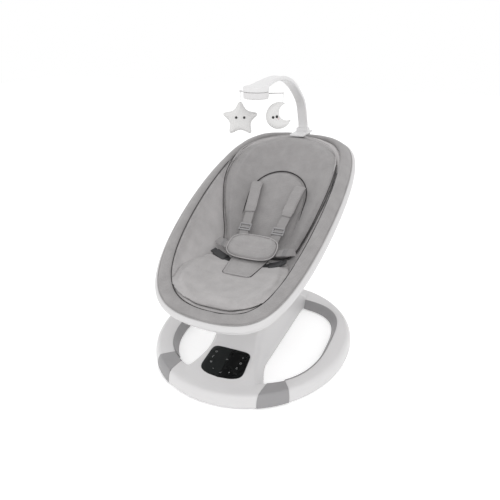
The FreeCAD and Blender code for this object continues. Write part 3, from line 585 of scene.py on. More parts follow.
bridge = skin("bridge", blended([pedestal_loop(*s) for s in STATIONS], 3), caps=True)
front = trimmed(ring_skin("front"), between_sides(127) + [((0, -160, 0), (0, -1, 0))])
rear = trimmed(ring_skin("rear"), between_sides(89) + [((0, 160, 0), (0, 1, 0))])
pedestal = joined("pedestal_skin", [bridge, front, rear])
baked(modifier(pedestal, "REMESH", mode="VOXEL", voxel_size=0.003))
baked(modifier(pedestal, "SMOOTH", factor=0.5, iterations=5))


def soften(obj, amount, iterations):
    """Smooth where amount(point in millimetres) is above nothing."""
    group = obj.vertex_groups.new(name="soft")
    for vertex in obj.data.vertices:
        weight = amount(vertex.co / MM)
        if weight > 0:
            group.add([vertex.index], weight, "REPLACE")
    modifier(obj, "SMOOTH", factor=0.5, iterations=iterations, vertex_group="soft")
    baked(obj)
    obj.vertex_groups.clear()


def fillet_share(p):
    """Full in the middle of the base, nothing near the ring's joints or the outer rim."""
    side = (112 if p.y < 0 else 78) - abs(p.x)
    rim = 300 + p.y if p.y < 0 else 270 - p.y
    return clamped(side / 18) * clamped(rim / 26) if p.z > 12 else 0.0


soften(pedestal, fillet_share, 26)
PANEL_TURN = Matrix.Rotation(math.radians(15.0), 3, "X")
PANEL_AT = V((0, -197.0, 46.4))
PANEL_HALF = (56, 40)


def panel_points(grow, height):
    """The touch panel's outline: narrower at the top, bowed at the bottom."""
    points = []
    for a in angles(96):
        x = power(math.cos(a), 0.3)
        y = power(math.sin(a), 0.3)
        bow = 0.36 * (1 - x * x) * max(0.0, -y)
        flat = V(((PANEL_HALF[0] + grow) * x * (1 - 0.05 * y), (PANEL_HALF[1] + grow) * (y - bow),
                  height))
        points.append(PANEL_AT + PANEL_TURN @ flat)
    return points


trimmed(pedestal, between_sides(SLEEVE_X - JOINT_GAP))
for side, word in SIDES:
    carved(pedestal, bar((60, 260, 90), (side * (REAR_X + 29.75), 290, 40), edge=0.01))
carved(pedestal, skin("recess", [panel_points(0.9, -1.6), panel_points(0.9, 30)], caps=True))
for radius, low, high, at, axis in ((31.5, 60, 260, (0, 20, 0), (0, 0, 1)),
                                    (6.6, 0, 40, (-34, 262, 19), (0, 1, 0)),
                                    (5.7, 0, 40, (34, 262, 19), (0, 1, 0))):
    carved(pedestal, lathe("bore", [(radius, low), (radius, high)], at, axis))
smooth(pedestal, 42)
finish(pedestal, "white", "base", ["pedestal"])

GASKET = ((0.8, -1.5), (0.8, 0.15), (0.1, 0.35), (0.1, -1.5))
GLASS = ((0, -1.4), (0, 0.35), (-0.5, 0.75), (-8, 0.8), (-24, 0.82))
gasket = skin("panel_gasket", [panel_points(*s) for s in GASKET], wrap=True)
finish(gasket, "dark", "base")
glass = skin("panel_glass", [panel_points(*s) for s in GLASS], caps=True)
finish(smooth(glass, 60), "panel", "base", ["touch_panel"])


STROKE_RADIUS = 0.4
STROKE_HEIGHT = 0.92


def strokes(at, lines):
    """Printed strokes on the panel, each a run of points about a centre."""
    pieces = []
    for line in lines:
        points = [PANEL_AT + PANEL_TURN @ V((at[0] + x, at[1] + y, STROKE_HEIGHT)) for x, y in line]
        pieces.append(tube("stroke", points, STROKE_RADIUS, closed=False, sides=6))
    return pieces


def arc(radius, start, stop, steps=14, centre=(0, 0)):
    """Points on an arc between two angles in degrees."""
    turns = [math.radians(start + (stop - start) * i / steps) for i in range(steps + 1)]
    return [(centre[0] + radius * math.cos(t), centre[1] + radius * math.sin(t)) for t in turns]


PLUS = [[(-2.2, 0), (2.2, 0)], [(0, -2.2), (0, 2.2)]]
MINUS = [[(-2.2, 0), (2.2, 0)]]
POWER = [arc(2.4, 125, 415), [(0, 0.4), (0, 3)]]
NOTE = [[(-1, -2), (-1, 2.4), (1.8, 3)], arc(0.8, 0, 360, 10, (-1.7, -2))]
DOTS = [arc(0.5, 0, 360, 8, (x, 0)) for x in (-2, 0, 2)]
WAVES = [[(-2.6 + 0.4 * i, 0.8 * math.sin(i) + y) for i in range(14)] for y in (-1.2, 1.2)]
CLOCK = [arc(2.5, 0, 360, 20), [(0, 1.6), (0, 0), (1.2, 0)]]
LOOP = [arc(2.4, 40, 330)]
BARS = [[(x, -2), (x, h)] for x, h in ((-2, -0.6), (0, 0.8), (2, 2.4))]
PRINTS = [(-38, 20, POWER), (-39, 2, NOTE), (-37, -15, WAVES), (38, 20, PLUS), (39, 2, CLOCK),
          (36, -15, LOOP), (0, 4, DOTS), (-22, -33, MINUS), (0, -39, BARS), (22, -33, PLUS)]
marks = [piece for x, y, lines in PRINTS for piece in strokes((x, y), lines)]
finish(joined("panel_marks", marks), "icon", "base")


def dressed(node, key, width=0.0, segments=2):
    """A CAD node that is shown as it is, with its edges eased and a finish."""
    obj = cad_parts[node]
    modifier(obj, "WELD", merge_threshold=0.00002)
    if width:
        rounded(obj, width, segments)
    return look(obj, key)


# each shown CAD node and the width of its eased edges, by finish
DRESS = {
    "dark": {"base_plate": 0.5, "loudspeaker": 0.4, "power_inlet": 0.3, "buckle": 1.0},
    "steel": {"base_screw_left": 0, "base_screw_right": 0, "shaft_bearing": 0.5, "swing_shaft": 0.4,
              "hinge_pin": 0.5},
    "rubber": {"grip_pad_front": 0, "grip_pad_rear": 0, "grip_pad_left": 0, "grip_pad_right": 0,
               "grip_pad_centre": 0.4},
    "board": {"control_board": 0.2},
    "copper": {"drive_motor": 0.6},
    "grey": {"power_button": 0.4, "turntable": 0.6, "recline_knob": 0.8, "buckle_button": 0.6},
    "white": {"hinge_ear_left": 1.0, "hinge_ear_right": 1.0, "hinge_knuckle": 1.2},
}
for key, nodes in DRESS.items():
    for node, width in nodes.items():
        dressed(node, key, width)

# grip ribs round the recline knob
KNOB_AT = V((50.4, 20, 214))
ribs = [bar((4.6, 1.0, 1.6), KNOB_AT + V((0, 9.2 * math.cos(a), 9.2 * math.sin(a))),
            Matrix.Rotation(a, 3, "X"), 0.25) for a in angles(20)]
finish(joined("knob_ribs", ribs), "grey", "recline_knob")


# ---- seat

SEAT_AT = V((0, 27.2, 392.3))
ALONG = V((0, math.cos(SEAT_LEAN), math.sin(SEAT_LEAN)))
OUT = V((0, -math.sin(SEAT_LEAN), math.cos(SEAT_LEAN)))
SEAT_TURN = Matrix.Rotation(SEAT_LEAN, 3, "X")
HALF_W = 211.4
HALF_L = 409.9
BORDER = 35.0
DEPTH = 148.0
BITE = -60.0
RIM_COUNT = 144


def seat_point(x, along, out):
    return SEAT_AT + V((x, 0, 0)) + ALONG * along + OUT * out


def rim_shape(a):
    """The egg-shaped rim: across, along, and its slight saddle."""
    x = math.cos(a) + 0.030 * math.sin(2 * a) - 0.032 * math.cos(3 * a)
    along = math.sin(a) - 0.013 * math.cos(2 * a) + 0.091 * math.sin(3 * a)
    return x, along, 9.2 * math.sin(a) ** 3 - 30.0 * math.sin(a) ** 2


def rim_point(a, grow, lift, swelling=0.0):
    x, along, saddle = rim_shape(a)
    return seat_point((HALF_W + grow) * x, (HALF_L + grow) * along,
                      saddle + lift + swelling * 11.0 * (1 + math.sin(a)))


def rim_loop(grow, lift, swelling=0.0):
    return [rim_point(a, grow, lift, swelling) for a in angles(RIM_COUNT)]


def bowl(x, along):
    """Height of the fabric bowl: flat across the middle, steep at the sides."""
    reach = min(0.98, abs(along - 5) / 336)
    half = (HALF_W - BORDER) * (1 - reach ** 3) ** (1 / 3)
    tip = max(-1.0, min(1.0, along / 375))
    edge = 9.2 * tip ** 3 - 30.0 * tip ** 2 + 11.0 * (1 + tip)
    low = (0.39 + 0.03 * math.tanh((along + 35) / 60)) * math.hypot(along + 35, 45) - DEPTH
    return low + max(0.0, edge - low) * min(1.0, abs(x) / half) ** 4


def off_bowl(x, along, gap):
    """The point a given distance off the bowl, along its normal."""
    step = 2.0
    slope_x = (bowl(x + step, along) - bowl(x - step, along)) / (2 * step)
    slope_l = (bowl(x, along + step) - bowl(x, along - step)) / (2 * step)
    scale = gap / math.sqrt(1 + slope_x ** 2 + slope_l ** 2)
    return seat_point(x - slope_x * scale, along - slope_l * scale, bowl(x, along) + scale)


def bowl_loop(share, gap):
    return [off_bowl(share * (HALF_W - BORDER) * x,
                     BITE * (1 - share) + share * (HALF_L - BORDER) * along, gap)
            for x, along, saddle in map(rim_shape, angles(RIM_COUNT))]


def flat_loop(half_width, half_length, centre, slope, height):
    return [seat_point(half_width * math.cos(a), centre + half_length * math.sin(a),
                       height + slope * half_length * math.sin(a)) for a in angles(RIM_COUNT)]


# white bucket: share of the width and of the length, middle, height, share of the rim's saddle
SHELL_STEPS = [(0.86, 0.80, -30, -48, 0.9), (0.75, 0.58, -56, -80, 0.45),
               (0.65, 0.40, -57, -112, 0.2), (0.50, 0.24, -52, -136, 0.05)]


def shell_loops(inset):
    loops = [rim_loop(1.0 - inset, -26.6), rim_loop(-6.0 - inset, -38.0 + 0.4 * inset)]
    for across, along, middle, height, share in SHELL_STEPS:
        loops.append([seat_point((HALF_W * across - inset) * x, middle + (HALF_L * along - inset) * reach,
                                 height + inset + share * saddle)
                      for x, reach, saddle in map(rim_shape, angles(RIM_COUNT))])
    loops.append(flat_loop(HALF_W * 0.28 - inset, HALF_L * 0.12 - inset, -48, 0.0, -DEPTH + inset))
    return blended(loops, 5)


down = shell_loops(0)
up = list(reversed(shell_loops(3.6)))
bucket = skin("bucket_skin", down + up, wrap=True)
finish(smooth(bucket, 60), "white", "seat", ["seat_shell"])

# sections as (grow, lift, swelling) from the rim's own line
RIM = ((-6, -3.5), (-1.5, -1.0), (2.0, -0.9), (6.0, -3.4), (8.8, -8.5), (9.2, -13.5), (7.6, -19.5),
       (4.4, -24.0), (0.5, -26.0), (-8.0, -26.0), (-8.0, -12.0))
PADDING = ((-1.6, -1.2), (-1.4, 0.6), (-3.2, 3.4, 0.1), (-8.0, 5.4, 0.3), (-13.5, 6.3, 0.55),
           (-20.0, 6.6, 0.75), (-26.0, 5.9, 0.9), (-31.0, 3.9, 1.0), (-34.2, 0.6, 1.0),
           (-35.2, -3.5, 0.96), (-34.4, -8.5, 0.9), (-22.0, -9.0, 0.5), (-8.4, -9.0), (-8.0, -4.5))
rim = skin("rim_skin", [rim_loop(*section) for section in RIM], wrap=True)
finish(finer(rim), "rim", "seat", ["seat_rim"])
border = skin("border_padding", [rim_loop(*section) for section in PADDING], wrap=True)


def ruffled(obj, size, depth, amount=None):
    """Push a soft piece's skin in and out by a smooth noise, in millimetres."""
    for vertex in obj.data.vertices:
        p = vertex.co / MM
        share = 1.0 if amount is None else amount(p)
        if share:
            vertex.co += vertex.normal * (noise.noise(p / size) * depth * share * MM)
    return obj


ruffled(border, 26.0, 1.1)
finish(finer(border), "border", "seat", ["border_cover"])
outer_piping = tube("border_outer_piping", rim_loop(-1.2, 1.0), 1.3)
finish(outer_piping, "border", "seat")
SHADOW_LINE_PAST = math.radians(22)  # how far the painted shadow line runs past the seat's widest line, head end
# a dark cord along the border's inner edge: painted shadow for the gap beside it
inner_run = [rim_point(math.pi - SHADOW_LINE_PAST + (math.pi + 2 * SHADOW_LINE_PAST) * i / 150, -35.4, -0.6, 1.0)
             for i in range(151)]
finish(tube("border_inner_shadow_line", inner_run, 1.0, closed=False), "painted_shadow", "seat")

SHARES = [0.975, 0.93, 0.85, 0.74, 0.6, 0.44, 0.28]
inner = [rim_loop(-BORDER - 0.4, -5.5, 0.97)] + [bowl_loop(s, 0) for s in SHARES]
inner += [flat_loop(20, 40, BITE, -0.06, bowl(0, BITE))]
outer = [rim_loop(-BORDER + 6, -8, 1.0)] + [bowl_loop(s, -6) for s in SHARES]
outer += [flat_loop(20, 40, BITE, -0.06, bowl(0, BITE) - 6)]
liner = skin("bowl_lining", blended(inner, 3) + list(reversed(blended(outer, 3))), wrap=True)


def wall_share(p):
    """Most on the seat's side walls, nothing near the middle."""
    return clamped((abs(p.x) - 95) / 40)


ruffled(liner, 38.0, 2.2, wall_share)
finish(liner, "wall", "seat", ["seat_liner"])


# ---- pads

def outline_through(right, centre):
    """A closed outline through (x, along) points of its right half, head end first, mirrored."""
    left = [(-x, along) for x, along in reversed(right[1:-1])]
    loop = [p[0] for p in blended([[V(p)] for p in right + left], 12, wrap=True)]

    def at(a, share):
        k = a / TAU * len(loop)
        p = loop[int(k) % len(loop)].lerp(loop[(int(k) + 1) % len(loop)], k - int(k))
        return share * p.x, centre + share * (p.y - centre)
    return at


def insert_outline(a, share):
    """The tombstone-shaped insert: a half circle at the top, nearly square below."""
    x = 91.0 * math.cos(a)
    along = 91.0 * math.sin(a)
    if along < 0:
        x = 91.0 * power(math.cos(a), 2 / 5)
        along = 160.0 * power(math.sin(a), 2 / 5)
    return share * x, 77.0 + share * (35.0 + along)


def even_loop(outline, share, count=120):
    """Evenly spaced (x, along) points round an outline."""
    dense = [V(outline(a, share)) for a in angles(1440)]
    steps = [(dense[(i + 1) % 1440] - dense[i]).length for i in range(1440)]
    total = sum(steps)
    points, walked, k = [], 0.0, 0
    for i in range(count):
        goal = total * i / count
        while walked + steps[k] < goal:
            walked += steps[k]
            k += 1
        points.append(dense[k].lerp(dense[(k + 1) % 1440], (goal - walked) / steps[k]))
    return points


CLOTH_FRAMES = 20


def swollen(obj, pressure, cap, below, voxel=0.005):
    """Blow the pad up like stuffed cloth; below(point) says what rests on something."""
    start = baked(modifier(obj, "REMESH", mode="VOXEL", voxel_size=voxel))
    rest = [v.co.copy() for v in start.data.vertices]
    modifier(obj, "CLOTH")
    cloth = obj.modifiers[-1]
    for key, value in {"use_pressure": True, "uniform_pressure_force": pressure, "quality": 6,
                       "tension_stiffness": 25.0, "bending_stiffness": 1.5}.items():
        setattr(cloth.settings, key, value)
    cloth.settings.effector_weights.gravity = 0.0
    cloth.point_cache.frame_start = 1
    cloth.point_cache.frame_end = CLOTH_FRAMES
    for step in range(1, CLOTH_FRAMES + 1):
        scene.frame_set(step)
    baked(obj)
    scene.frame_set(1)
    for vertex, was in zip(obj.data.vertices, rest):
        move = vertex.co - was
        limit = cap * MM * (0.2 if below(was / MM) else 1.0)
        if move.length > limit:
            move = move.normalized() * limit
        vertex.co = was + move
    return obj


def seat_height(p):
    """How far a point lies above the bowl, roughly, in millimetres."""
    local = p - SEAT_AT
    return local.dot(OUT) - bowl(local.x, local.dot(ALONG))


def cushion(name, outline, base, heights, edge, trim, cap, pressure=4.0, voxel=0.005):
    """A cushion on the bowl, swollen by a cloth simulation, then smoothed."""
    x0, l0 = outline(0, 0)
    profile = [(s, base + 0.8) for s in (0.2, 0.45, 0.7, 0.88, 0.95)]
    profile += [(1.0 - trim, base + edge * 0.55), (1.0 - trim, base + edge * 1.1)]
    profile += [(share - trim * 0.6, base + rise) for share, rise in heights]
    loops = [[off_bowl(x, along, gap) for x, along in even_loop(outline, share)]
             for share, gap in profile]
    loops.append([seat_point(x0, l0, bowl(x0, l0) + profile[-1][1])] * len(loops[0]))
    loops.insert(0, [seat_point(x0, l0, bowl(x0, l0) + base + 0.8)] * len(loops[0]))
    obj = skin(name, loops)
    middle = base + edge * 0.8
    swollen(obj, pressure, cap, lambda p: seat_height(p) < middle, voxel)
    baked(modifier(obj, "SMOOTH", factor=0.5, iterations=4))
    return smooth(obj)


def outline_tube(name, outline, share, gap, radius, low=-1000, high=1000):
    """Piping, or a dark cord of painted shadow, round a pad's edge, or the part of it between two places
    along the seat.
    """
    count = 180
    run = even_loop(outline, share, count)
    kept = [low <= p[1] <= high for p in run]
    points = [off_bowl(x, along, gap) for x, along in run]
    if all(kept):
        return tube(name, points, radius, sides=10)
    pieces = []
    for start in range(count):
        if kept[start] and not kept[start - 1]:
            length = 1
            while kept[(start + length) % count]:
                length += 1
            part = [points[(start + k) % count] for k in range(length)]
            pieces.append(tube("run", part, radius, closed=False, sides=10))
    return joined(name, pieces)


back_outline = outline_through(
    [(0, 329), (68, 317), (114, 293), (145, 255), (160, 208), (165, 155), (161, 100), (144, 38),
     (124, -12), (108, -56), (78, -71), (0, -73)], 124.0)
seat_outline = outline_through(
    [(0, -75), (62, -77), (104, -94), (131, -148), (142, -207), (139, -256), (121, -300), (70, -328),
     (0, -334)], -206.0)

BACK = [(0.96, 17), (0.88, 18.5), (0.74, 17), (0.56, 14), (0.3, 13)]
back = cushion("back_cushion", back_outline, 1.5, BACK, 9.0, 0.012, 4.0)
finish(finer(back), "back", "seat", ["back_pad"])
finish(outline_tube("back_piping", back_outline, 1.0, 13.5, 1.4, low=170), "piping", "seat")
# a dark cord along the back pad's sides: painted shadow in the gap beside the pad
finish(outline_tube("back_shadow_line", back_outline, 1.006, 10.5, 1.2, high=205), "painted_shadow", "seat")

SEAT = [(0.95, 14), (0.86, 17), (0.7, 18.5), (0.45, 18.5), (0.25, 18)]
seat = cushion("seat_cushion", seat_outline, 1.5, SEAT, 7.0, 0.012, 5.0)
finish(finer(seat), "seat", "seat", ["seat_pad"])

INSERT = [(0.95, 8), (0.85, 10), (0.65, 11), (0.4, 11.5)]
insert = cushion("insert_cushion", insert_outline, 18.0, INSERT, 4.0, 0.01, 2.5, 3.0, 0.004)
finish(finer(insert), "back", "seat", ["insert_pad"])
# a dark cord round the insert: painted shadow in the gap at its edge
finish(outline_tube("insert_shadow_line", insert_outline, 1.014, 20.5, 1.7), "painted_shadow", "seat")


# ---- harness

SIDEWAYS = V((1, 0, 0))


def on_route(points, side, steps):
    return spline([seat_point(side * x, along, out) for x, along, out in points], steps)


def strap_frames(route, across):
    """Each point of a route with the strap's own directions there: across it and off it."""
    last = len(route) - 1
    for i, point in enumerate(route):
        ahead = (route[min(i + 1, last)] - route[max(i - 1, 0)]).normalized()
        flat = (across - ahead * across.dot(ahead)).normalized()
        yield point, flat, ahead.cross(flat)


def strap(name, route, across, half_width, half_thickness, puff=0.0, round_ends=0.0):
    """A flat strap along a route; puff thickens its middle, round_ends draws its ends in."""
    loops = []
    for i, (point, flat, off) in enumerate(strap_frames(route, across)):
        share = i / (len(route) - 1)
        end = min(1.0, min(share, 1 - share) / round_ends) if round_ends else 1.0
        full = math.sqrt(max(0.0, 1 - (1 - end) ** 2))
        width = half_width * (0.82 + 0.18 * full)
        thick = half_thickness * (1 + puff * math.sin(math.pi * share)) * (0.45 + 0.55 * full)
        loops.append([point + flat * (width * power(math.cos(a), 0.5))
                      + off * (thick * power(math.sin(a), 0.7)) for a in angles(28)])
    return skin(name, loops, caps=True)


def edge_line(route, across, offset, lift):
    """A line along a strap, offset to one side and lifted off it."""
    return [point + flat * offset + (-off if off.dot(OUT) < 0 else off) * lift
            for point, flat, off in strap_frames(route, across)]


DASH_STEP = 0.8
DASH_POINTS = 3
DASH_SKIP = 2


def dashes(name, points):
    """Stitches with gaps between them, along a path."""
    path = [points[0]]
    for a, b in zip(points, points[1:]):
        parts = max(1, int((b - a).length / DASH_STEP))
        path += [a.lerp(b, (k + 1) / parts) for k in range(parts)]
    pieces = []
    for k in range(0, len(path) - DASH_POINTS, DASH_POINTS + DASH_SKIP):
        ends = [path[k], path[k + DASH_POINTS // 2], path[k + DASH_POINTS]]
        pieces.append(tube("stitch", ends, 0.32, False, 5))
    finish(joined(name, pieces), "pale_thread", "seat")


# where the straps run, as (x, along, out) points of the right-hand one
SLEEVE_ROUTE = [(66, 141, -33.5), (63, 118, -32.5), (54, 35, -56)]
STRAP_ROUTE = [(54, 38, -57), (48.5, -16, -68), (45, -50, -76)]
WAIST_ROUTE = [(66, -90, -73), (94, -79, -76), (112, -66, -82)]
TONGUE_ROUTE = [(46, -134, -84), (75, -125, -81.5), (103, -116, -71)]
LOCK_BARS = (((3.4, 24, 6), (-15.3, 0, 0.4)), ((3.4, 24, 6), (15.3, 0, 0.4)),
             ((32, 4.4, 3.2), (0, -9.6, 2.6)), ((32, 3.2, 2.6), (0, -2.6, 2.9)),
             ((32, 4.6, 3.6), (0, 9.4, 2.8)))
for side, word in SIDES:
    route = on_route(SLEEVE_ROUTE, side, 16)
    sleeve = strap("sleeve_pad_" + word, route, SIDEWAYS, 15.5, 4.2, 0.12, 0.12)
    finish(finer(sleeve), "back", "seat", ["shoulder_sleeve_" + word])
    for edge, tag in ((-1, "a"), (1, "b")):
        line = edge_line(route[3:-3], SIDEWAYS, edge * 14.9, 0.6)
        finish(tube("sleeve_%s_piping_%s" % (word, tag), line, 1.1, closed=False), "piping", "seat")
    band = strap("strap_band_" + word, on_route(STRAP_ROUTE, side, 12), SIDEWAYS, 13, 1.25)
    finish(band, "strap", "seat", ["shoulder_strap_" + word])
    slide = on_route(WAIST_ROUTE, side, 12)
    waist = strap("waist_band_" + word, slide, ALONG, 12, 1.25)
    finish(waist, "waist", "seat", ["waist_strap_" + word])
    lean = SEAT_TURN @ Matrix.Rotation(math.radians(13), 3, "X")
    here = seat_point(side * 48.5, -16, -68)
    parts = [bar(size, here + lean @ V(at), lean, 1.0) for size, at in LOCK_BARS]
    finish(joined("ladder_lock_" + word, parts), "grey", "seat", ["strap_adjuster_" + word])
    belt = on_route(TONGUE_ROUTE, side, 10)
    dark = strap("tongue_belt_" + word, belt, ALONG - OUT * 0.3, 11.5, 2.6)
    plate = strap("tongue_plate_" + word, belt[5:18], ALONG - OUT * 0.3, 14.5, 5.0, 0.0, 0.1)
    tongue = joined("waist_tongue_body_" + word, [dark, plate])
    finish(tongue, "dark", "seat", ["waist_tongue_" + word])
    ahead = (slide[10] - slide[8]).normalized()
    face = Matrix((ahead, ALONG, ahead.cross(ALONG))).transposed()
    lift = 2.3 if (face @ V((0, 0, 1))).dot(OUT) > 0 else -2.3
    ridges = [bar((2.2, 27, 2.0), slide[9] + face @ V((k * 4.2, 0, lift)), face, 0.6) for k in (-1, 0, 1)]
    finish(joined("waist_slide_" + word, ridges), "grey", "seat")


COVER_TURN = SEAT_TURN @ Matrix.Rotation(math.radians(6), 3, "X")
COVER_AT = seat_point(0, -88, -67)
# the buckle cover's sections: a share of its size, and a height
COVER = [(0.3, -5.6), (0.7, -5.8), (0.9, -5.2), (0.975, -2.6), (0.99, 0), (0.975, 2.6), (0.9, 6.0),
         (0.75, 7.2), (0.5, 7.6), (0.2, 7.7)]


def pillow_loop(half_width, half_length, height, count=96):
    """A rounded oblong over the buckle."""
    return [COVER_AT + COVER_TURN @ V((half_width * power(math.cos(a), 2 / 3),
                                       half_length * power(math.sin(a), 2 / 3), height))
            for a in angles(count)]


def cover_loop(share, height):
    if share > 0.8:
        inset = 75 * (1 - share) * 0.8
        return pillow_loop(68 - inset, 40 - inset, height)
    return pillow_loop(66 * share, 38 * share, height)


cover = skin("buckle_cushion", [cover_loop(*section) for section in COVER], caps=True)
swollen(cover, 3.0, 2.2, lambda p: (p - COVER_AT).dot(COVER_TURN @ V((0, 0, 1))) < -2, 0.004)
baked(modifier(cover, "SMOOTH", factor=0.5, iterations=3))
finish(finer(smooth(cover)), "cover", "seat", ["buckle_cover"])
finish(tube("cover_piping", pillow_loop(68.4, 40.4, 1.2, 120), 1.7, sides=10), "piping", "seat")
path = pillow_loop(62.5, 34.5, 8.6, 160)
dashes("cover_stitches", path + path[:1])

# crotch cover: a flat padded flap over the strap, as (along, half width, half thickness)
FLAP = ((-104, 50, 2.6), (-110, 50, 3.3), (-118, 49.4, 3.5), (-134, 47.4, 3.6), (-150, 45.4, 3.6),
        (-172, 42.2, 3.4), (-190, 39.2, 3.0), (-196, 37.6, 2.2), (-198.5, 35, 1.2))
FLAP_LIFT = 27.0
crotch = []
for along, half, height in FLAP:
    middle = seat_point(0, along, bowl(0, along) + FLAP_LIFT)
    crotch.append([middle + SIDEWAYS * (half * power(math.cos(a), 0.4))
                   + OUT * (height * power(math.sin(a), 0.7)) for a in angles(48)])
flap = skin("crotch_flap", blended(crotch, 3), caps=True)
finish(flap, "cover", "seat", ["crotch_cover"])


def flap_point(along, across, lift):
    half = 50.5 - (-104 - along) * 12 / 92
    return seat_point(across * half, along, bowl(0, along) + FLAP_LIFT + lift)


def with_mirror(side, tip):
    """A line down one side, across the tip, and back up the other side."""
    return side + tip + [V((-p.x, p.y, p.z)) for p in reversed(side)]


# a dark cord round the flap's edge: painted shadow under its edge
painted_shadow = with_mirror([flap_point(-108 - 4 * i, 1.0, 0.4) for i in range(22)],
                   [flap_point(-197, 0.9 - 0.1 * i, 0.4) for i in range(19)])
finish(tube("crotch_shadow_line", painted_shadow, 1.2, closed=False), "painted_shadow", "seat")
dashes("crotch_stitches", with_mirror([flap_point(-112 - 4 * i, 0.84, 3.9) for i in range(19)],
                                      [flap_point(-188, 0.8 - 0.1 * i, 3.8) for i in range(17)]))


# ---- toy bar, mobile and toys

def even_spline(points, first, last, count):
    """A smooth curve through points with set end directions, by distance along it."""
    p = np.array(points, float)
    t = np.concatenate([[0], np.cumsum(np.linalg.norm(np.diff(p, axis=0), axis=1))])
    n = len(p)
    h = np.diff(t)
    a = np.zeros((n, n))
    b = np.zeros((n, p.shape[1]))
    a[0, 0] = a[-1, -1] = 1.0
    b[0], b[-1] = first, last
    for i in range(1, n - 1):
        a[i, i - 1], a[i, i], a[i, i + 1] = h[i], 2 * (h[i - 1] + h[i]), h[i - 1]
        b[i] = 3 * (h[i] * (p[i] - p[i - 1]) / h[i - 1] + h[i - 1] * (p[i + 1] - p[i]) / h[i])
    slope = np.linalg.solve(a, b)
    result = []
    for s in np.linspace(0, t[-1], count):
        i = min(n - 2, max(0, int(np.searchsorted(t, s, side="right") - 1)))
        u = (s - t[i]) / h[i]
        value = ((1 + 2 * u) * (1 - u) ** 2 * p[i] + u * (1 - u) ** 2 * h[i] * slope[i]
                 + u * u * (3 - 2 * u) * p[i + 1] + u * u * (u - 1) * h[i] * slope[i + 1])
        result.append(V((0, value[0], value[1])))
    return result


# (y, z) points up the toy bar
ARM_ROUTE = [(377, 541.4), (367, 573), (350, 611), (304, 652), (240, 687), (160, 707), (80, 708), (0, 699.5)]
route = even_spline(ARM_ROUTE, (-0.02, 1), (-1, -0.12), 90)
loops = []
for i, (point, flat, off) in enumerate(strap_frames(route, SIDEWAYS)):
    share = i / (len(route) - 1)
    flare = max(0.0, (share - 0.74) / 0.26) ** 1.6
    half = 14.5 + 12 * flare
    thick = 6.0 - 2 * flare
    groove = 1.5 * clamped(min((0.86 - share) / 0.1, share / 0.04))
    section = []
    for a in angles(48):
        x = power(math.cos(a), 0.5)
        z = power(math.sin(a), 0.5)
        dip = groove * clamped((0.74 - abs(x)) / 0.1) if z > 0.7 else 0.0
        section.append(point + flat * (half * x) + off * (thick * z - dip))
    loops.append(section)
arm = skin("arm_band", loops, caps=True)
hub_low, hub_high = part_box("mobile_disc")
HUB = V((0, (hub_low.y + hub_high.y) / 2 / MM, 0))
cap = lathe("hub_cap", [(4.6, 691.4), (29.8, 691.4), (30.8, 692.2), (31.0, 694), (31.0, 700),
                        (30.2, 702.4), (28.4, 703.7), (25, 704.2), (12, 704.6), (2, 704.7)], HUB)
latch = bar((18, 2.2, 22), (0, 370.2, 552.5), Matrix.Rotation(math.radians(14), 3, "X"), 0.9)
tab = bar((22, 10, 16), (0, 377, 534.6), None, 0.5)
finish(smooth(joined("toy_arm_skin", [arm, cap, latch, tab]), 45), "bright", "toy_bar", ["toy_arm"])

disc = lathe("disc", [(3, 675.0), (26, 675.0), (28.6, 675.4), (30.0, 676.8), (30.5, 679),
                      (30.5, 689.6), (29.9, 690.6), (4.0, 690.7), (4.0, 699)], HUB)
finish(smooth(joined("mobile_disc_skin", [disc]), 45), "white", "mobile", ["mobile_disc"])
vents = [bar((1.4, 12, 0.8), HUB + V((18 * math.cos(a), 18 * math.sin(a), 675.0)),
             Matrix.Rotation(a + math.pi / 2, 3, "Z"), 0.2) for a in angles(12)]
finish(joined("mobile_disc_vents", vents), "grey", "mobile")
for node in ("mobile_rod_moon", "mobile_rod_star"):
    smooth(dressed(node, "white"), 60)

dressed("arm_mount", "bright", 1.4, 3)
dressed("arm_clip", "white", 1.0, 2)
gasket = bar((26, 70, 3.0), (0, 352, 523.1), None, 1.0)
finish(joined("mount_gasket", [gasket]), "grey", "seat")

# the way each toy looks, in degrees from straight ahead
FACING = {"moon": 33.0, "star": 23.0}


def toy_frame(word):
    """Where a toy hangs: its top, the way it looks, and a function for points on it."""
    facing = math.radians(FACING[word])
    low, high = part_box(word + "_cord")
    top = V(((low.x + high.x) / 2, (low.y + high.y) / 2, low.z)) / MM
    across = V((math.cos(facing), math.sin(facing), 0))
    face = across.cross(V((0, 0, 1)))

    def spot(x, y, out=0.0):
        return top + across * x + V((0, 0, y)) + face * out
    return top, face, spot


